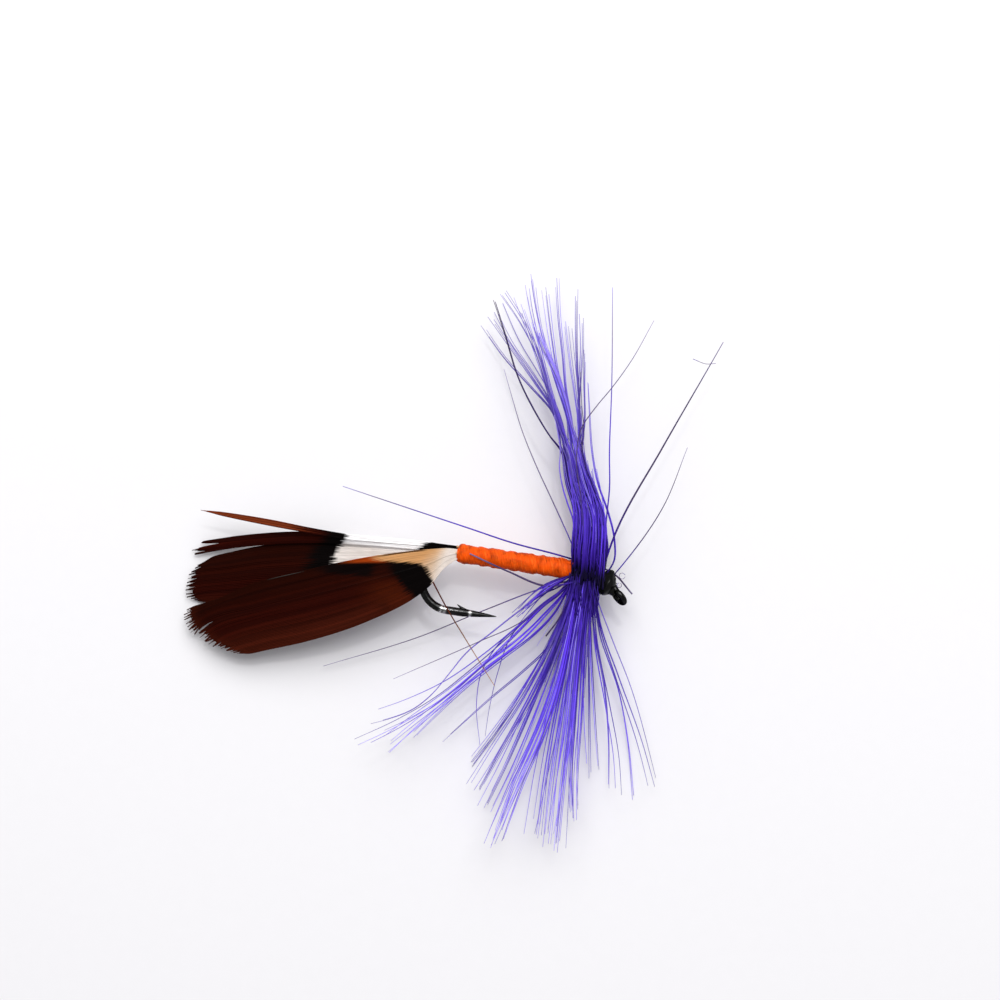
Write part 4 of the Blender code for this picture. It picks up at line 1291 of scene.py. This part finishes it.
def make_collar():
    """Short dense barbs round the wound stem, which close the middle of the hackle."""
    for body, sign in (("upper_hackle", 1.0), ("lower_hackle", -1.0)):
        bundle = Bundle()
        for _ in range(COLLAR_BARBS):
            u = rng.uniform(-1.32, 1.3)
            angle = rng.uniform(-1.9, 1.9)
            lean = rng.normal(0, 0.25)
            rise = 0.52 * math.sin(angle) + 0.25 * max(u, 0.0)
            root = (u, sign * 0.45 * math.cos(angle) - 0.35 * max(u, 0.0), rise)
            length = rng.uniform(1.0, 3.6)
            middle = (u + lean * 0.5, root[1] + sign * 0.5 * length, rise * 1.35)
            tip = (u + lean - 0.12 * sign * length, root[1] + sign * length, rise * 1.4)
            path = smooth([root, middle, tip], 16)
            path[:, 0] = np.clip(path[:, 0], *COLLAR_ENDS)
            size = 0.058 * np.linspace(1.0, 0.5, 16)
            bundle.strand(path, size, size * 0.8, tone=rng.uniform(0.0, 0.5))
        bundle.values["run"] = [run * COLLAR_RUN for run in bundle.values["run"]]
        bundle.piece(f"collar_{body}", "violet", body)


def make_strays():
    """The single barbs, and a thicker one that lies across the floss."""
    for title, (knots, size, tone, look, body) in STRAYS.items():
        bundle = Bundle()
        barb(bundle, knots, size, tone, tip_share=0.38)
        bundle.piece(f"single_barb_{title}", look, body, [f"stray_barb_{title}"])
    over = Bundle()
    knots = [(-0.6, -0.9, 0.6), (-2.9, -1.6, 0.75), (-6.3, -0.88, 1.02), (-9.6, 0.1, 1.0)]
    barb(over, knots, 0.085, 0.3, tip_share=0.6)
    over.piece("single_barb_over_floss", "grey")


def make_curls():
    """Two hair-fine curls of loose barbule beside the head, and one across the longest barb."""
    bundle = Bundle()
    for u, v, radius, turn in ((2.95, 0.08, 0.24, 0.4), (2.83, -0.70, 0.19, 2.0)):
        angle = np.linspace(turn, turn + 5.9, 40)
        curl = np.stack([np.cos(angle) * radius, np.sin(angle) * radius, 0.1 * np.sin(angle * 0.5)], 1)
        bundle.strand(curl + np.array((u, v, 0.9)), 0.02, tone=0.6)
    bundle.strand(smooth([(6.1, 18.4, 1.4), (7.3, 18.15, 1.6), (8.0, 18.3, 1.7)], 24), 0.022, tone=0.6)
    bundle.piece("loose_barbules", "grey")


def make_belly_root():
    """Short barbs that lean back from the collar, under the floss."""
    line = [(-0.9, -0.3), (-2.0, -0.98), (-3.1, -1.85), (-5.3, -4.4)]
    barbs = spread_barbs(line, 10, 0.38, 0.2, 0.4, (0.5, 1.4), 1.1)
    pale = spread_barbs(line, 2, 0.4, 0.5, 0.3, (0.5, 1.4))
    make_lock("belly_barbs_short", "lower_hackle", barbs, pale, "root")


# ---- Carried-over CAD nodes ----

CARRIED_OVER = {
    "bound_thread": ("thread_underbody", "tail_lashing_thread", "hackle_tie_thread"),
    "butt": ("front_feather_butt", "rear_feather_butt", "top_slip_feather_butt"),
}


def dress_cad():
    """Gives the inner CAD nodes, which keep their own shapes, their materials."""
    for look, nodes in CARRIED_OVER.items():
        for node in nodes:
            for slot in frame["nodes"][node].material_slots:
                slot.material = LOOKS[look]


# ---- Table, light and camera ----

# Metres in the row frame, and watts.
TABLE_SIZE = 1.6
CAMERA_HEIGHT = 0.5
VIEW_WIDTH = 0.08163
VIEW_CENTRE = (0.00371, 0.00514)
WORLD_STRENGTH = 0.44
KEY_PLACE = (0.03, 0.25, 0.36)
KEY_SIZE = 0.46
KEY_POWER = 2.16
SPARK_PLACE = (0.05, 0.20, 0.42)
SPARK_SIZE = 0.03
SPARK_POWER = 0.24


def make_table():
    """The pale table top, which is a stage and no part of the fly."""
    shape = bmesh.new()
    bmesh.ops.create_grid(shape, x_segments=1, y_segments=1, size=TABLE_SIZE / 2.0)
    mesh = bpy.data.meshes.new("table_top")
    shape.to_mesh(mesh)
    shape.free()
    mesh.materials.append(LOOKS["paper"])
    table = bpy.data.objects.new("table_top", mesh)
    bpy.context.scene.collection.objects.link(table)


def add_lamp(name, place, size, power):
    """A round lamp that faces the hackle."""
    light = bpy.data.lights.new(name, "AREA")
    light.shape = "DISK"
    light.size = size
    light.energy = power
    lamp = bpy.data.objects.new(name, light)
    lamp.location = place
    lamp.rotation_euler = (COLLAR - lamp.location).to_track_quat("-Z", "Y").to_euler()
    bpy.context.scene.collection.objects.link(lamp)


def make_light():
    """An even pale sky, a big soft lamp, and a small one for the glints on steel and cement."""
    world = bpy.data.worlds.new("studio")
    world.use_nodes = True
    sky = world.node_tree.nodes["Background"]
    sky.inputs["Color"].default_value = (0.98, 0.975, 1.0, 1.0)
    sky.inputs["Strength"].default_value = WORLD_STRENGTH
    bpy.context.scene.world = world
    add_lamp("key_softbox", KEY_PLACE, KEY_SIZE, KEY_POWER)
    add_lamp("spark", SPARK_PLACE, SPARK_SIZE, SPARK_POWER)


def make_camera():
    """A camera straight above the table, with +Y up the picture."""
    lens = bpy.data.cameras.new("camera")
    lens.sensor_width = 36.0
    lens.lens = lens.sensor_width * (CAMERA_HEIGHT - COLLAR.z) / VIEW_WIDTH
    lens.clip_start = 0.01
    lens.clip_end = 10.0
    camera = bpy.data.objects.new("camera", lens)
    camera.location = (*VIEW_CENTRE, CAMERA_HEIGHT)
    bpy.context.scene.collection.objects.link(camera)
    bpy.context.scene.camera = camera
    bpy.context.scene.view_settings.view_transform = "Standard"


make_hook()
make_floss()
make_stem()
make_head()
make_cement()
make_tail()
make_upper_hackle()
make_lower_hackle()
make_collar()
make_strays()
make_curls()
make_belly_root()
dress_cad()
make_table()
make_light()
make_camera()
bpy.context.view_layer.update()
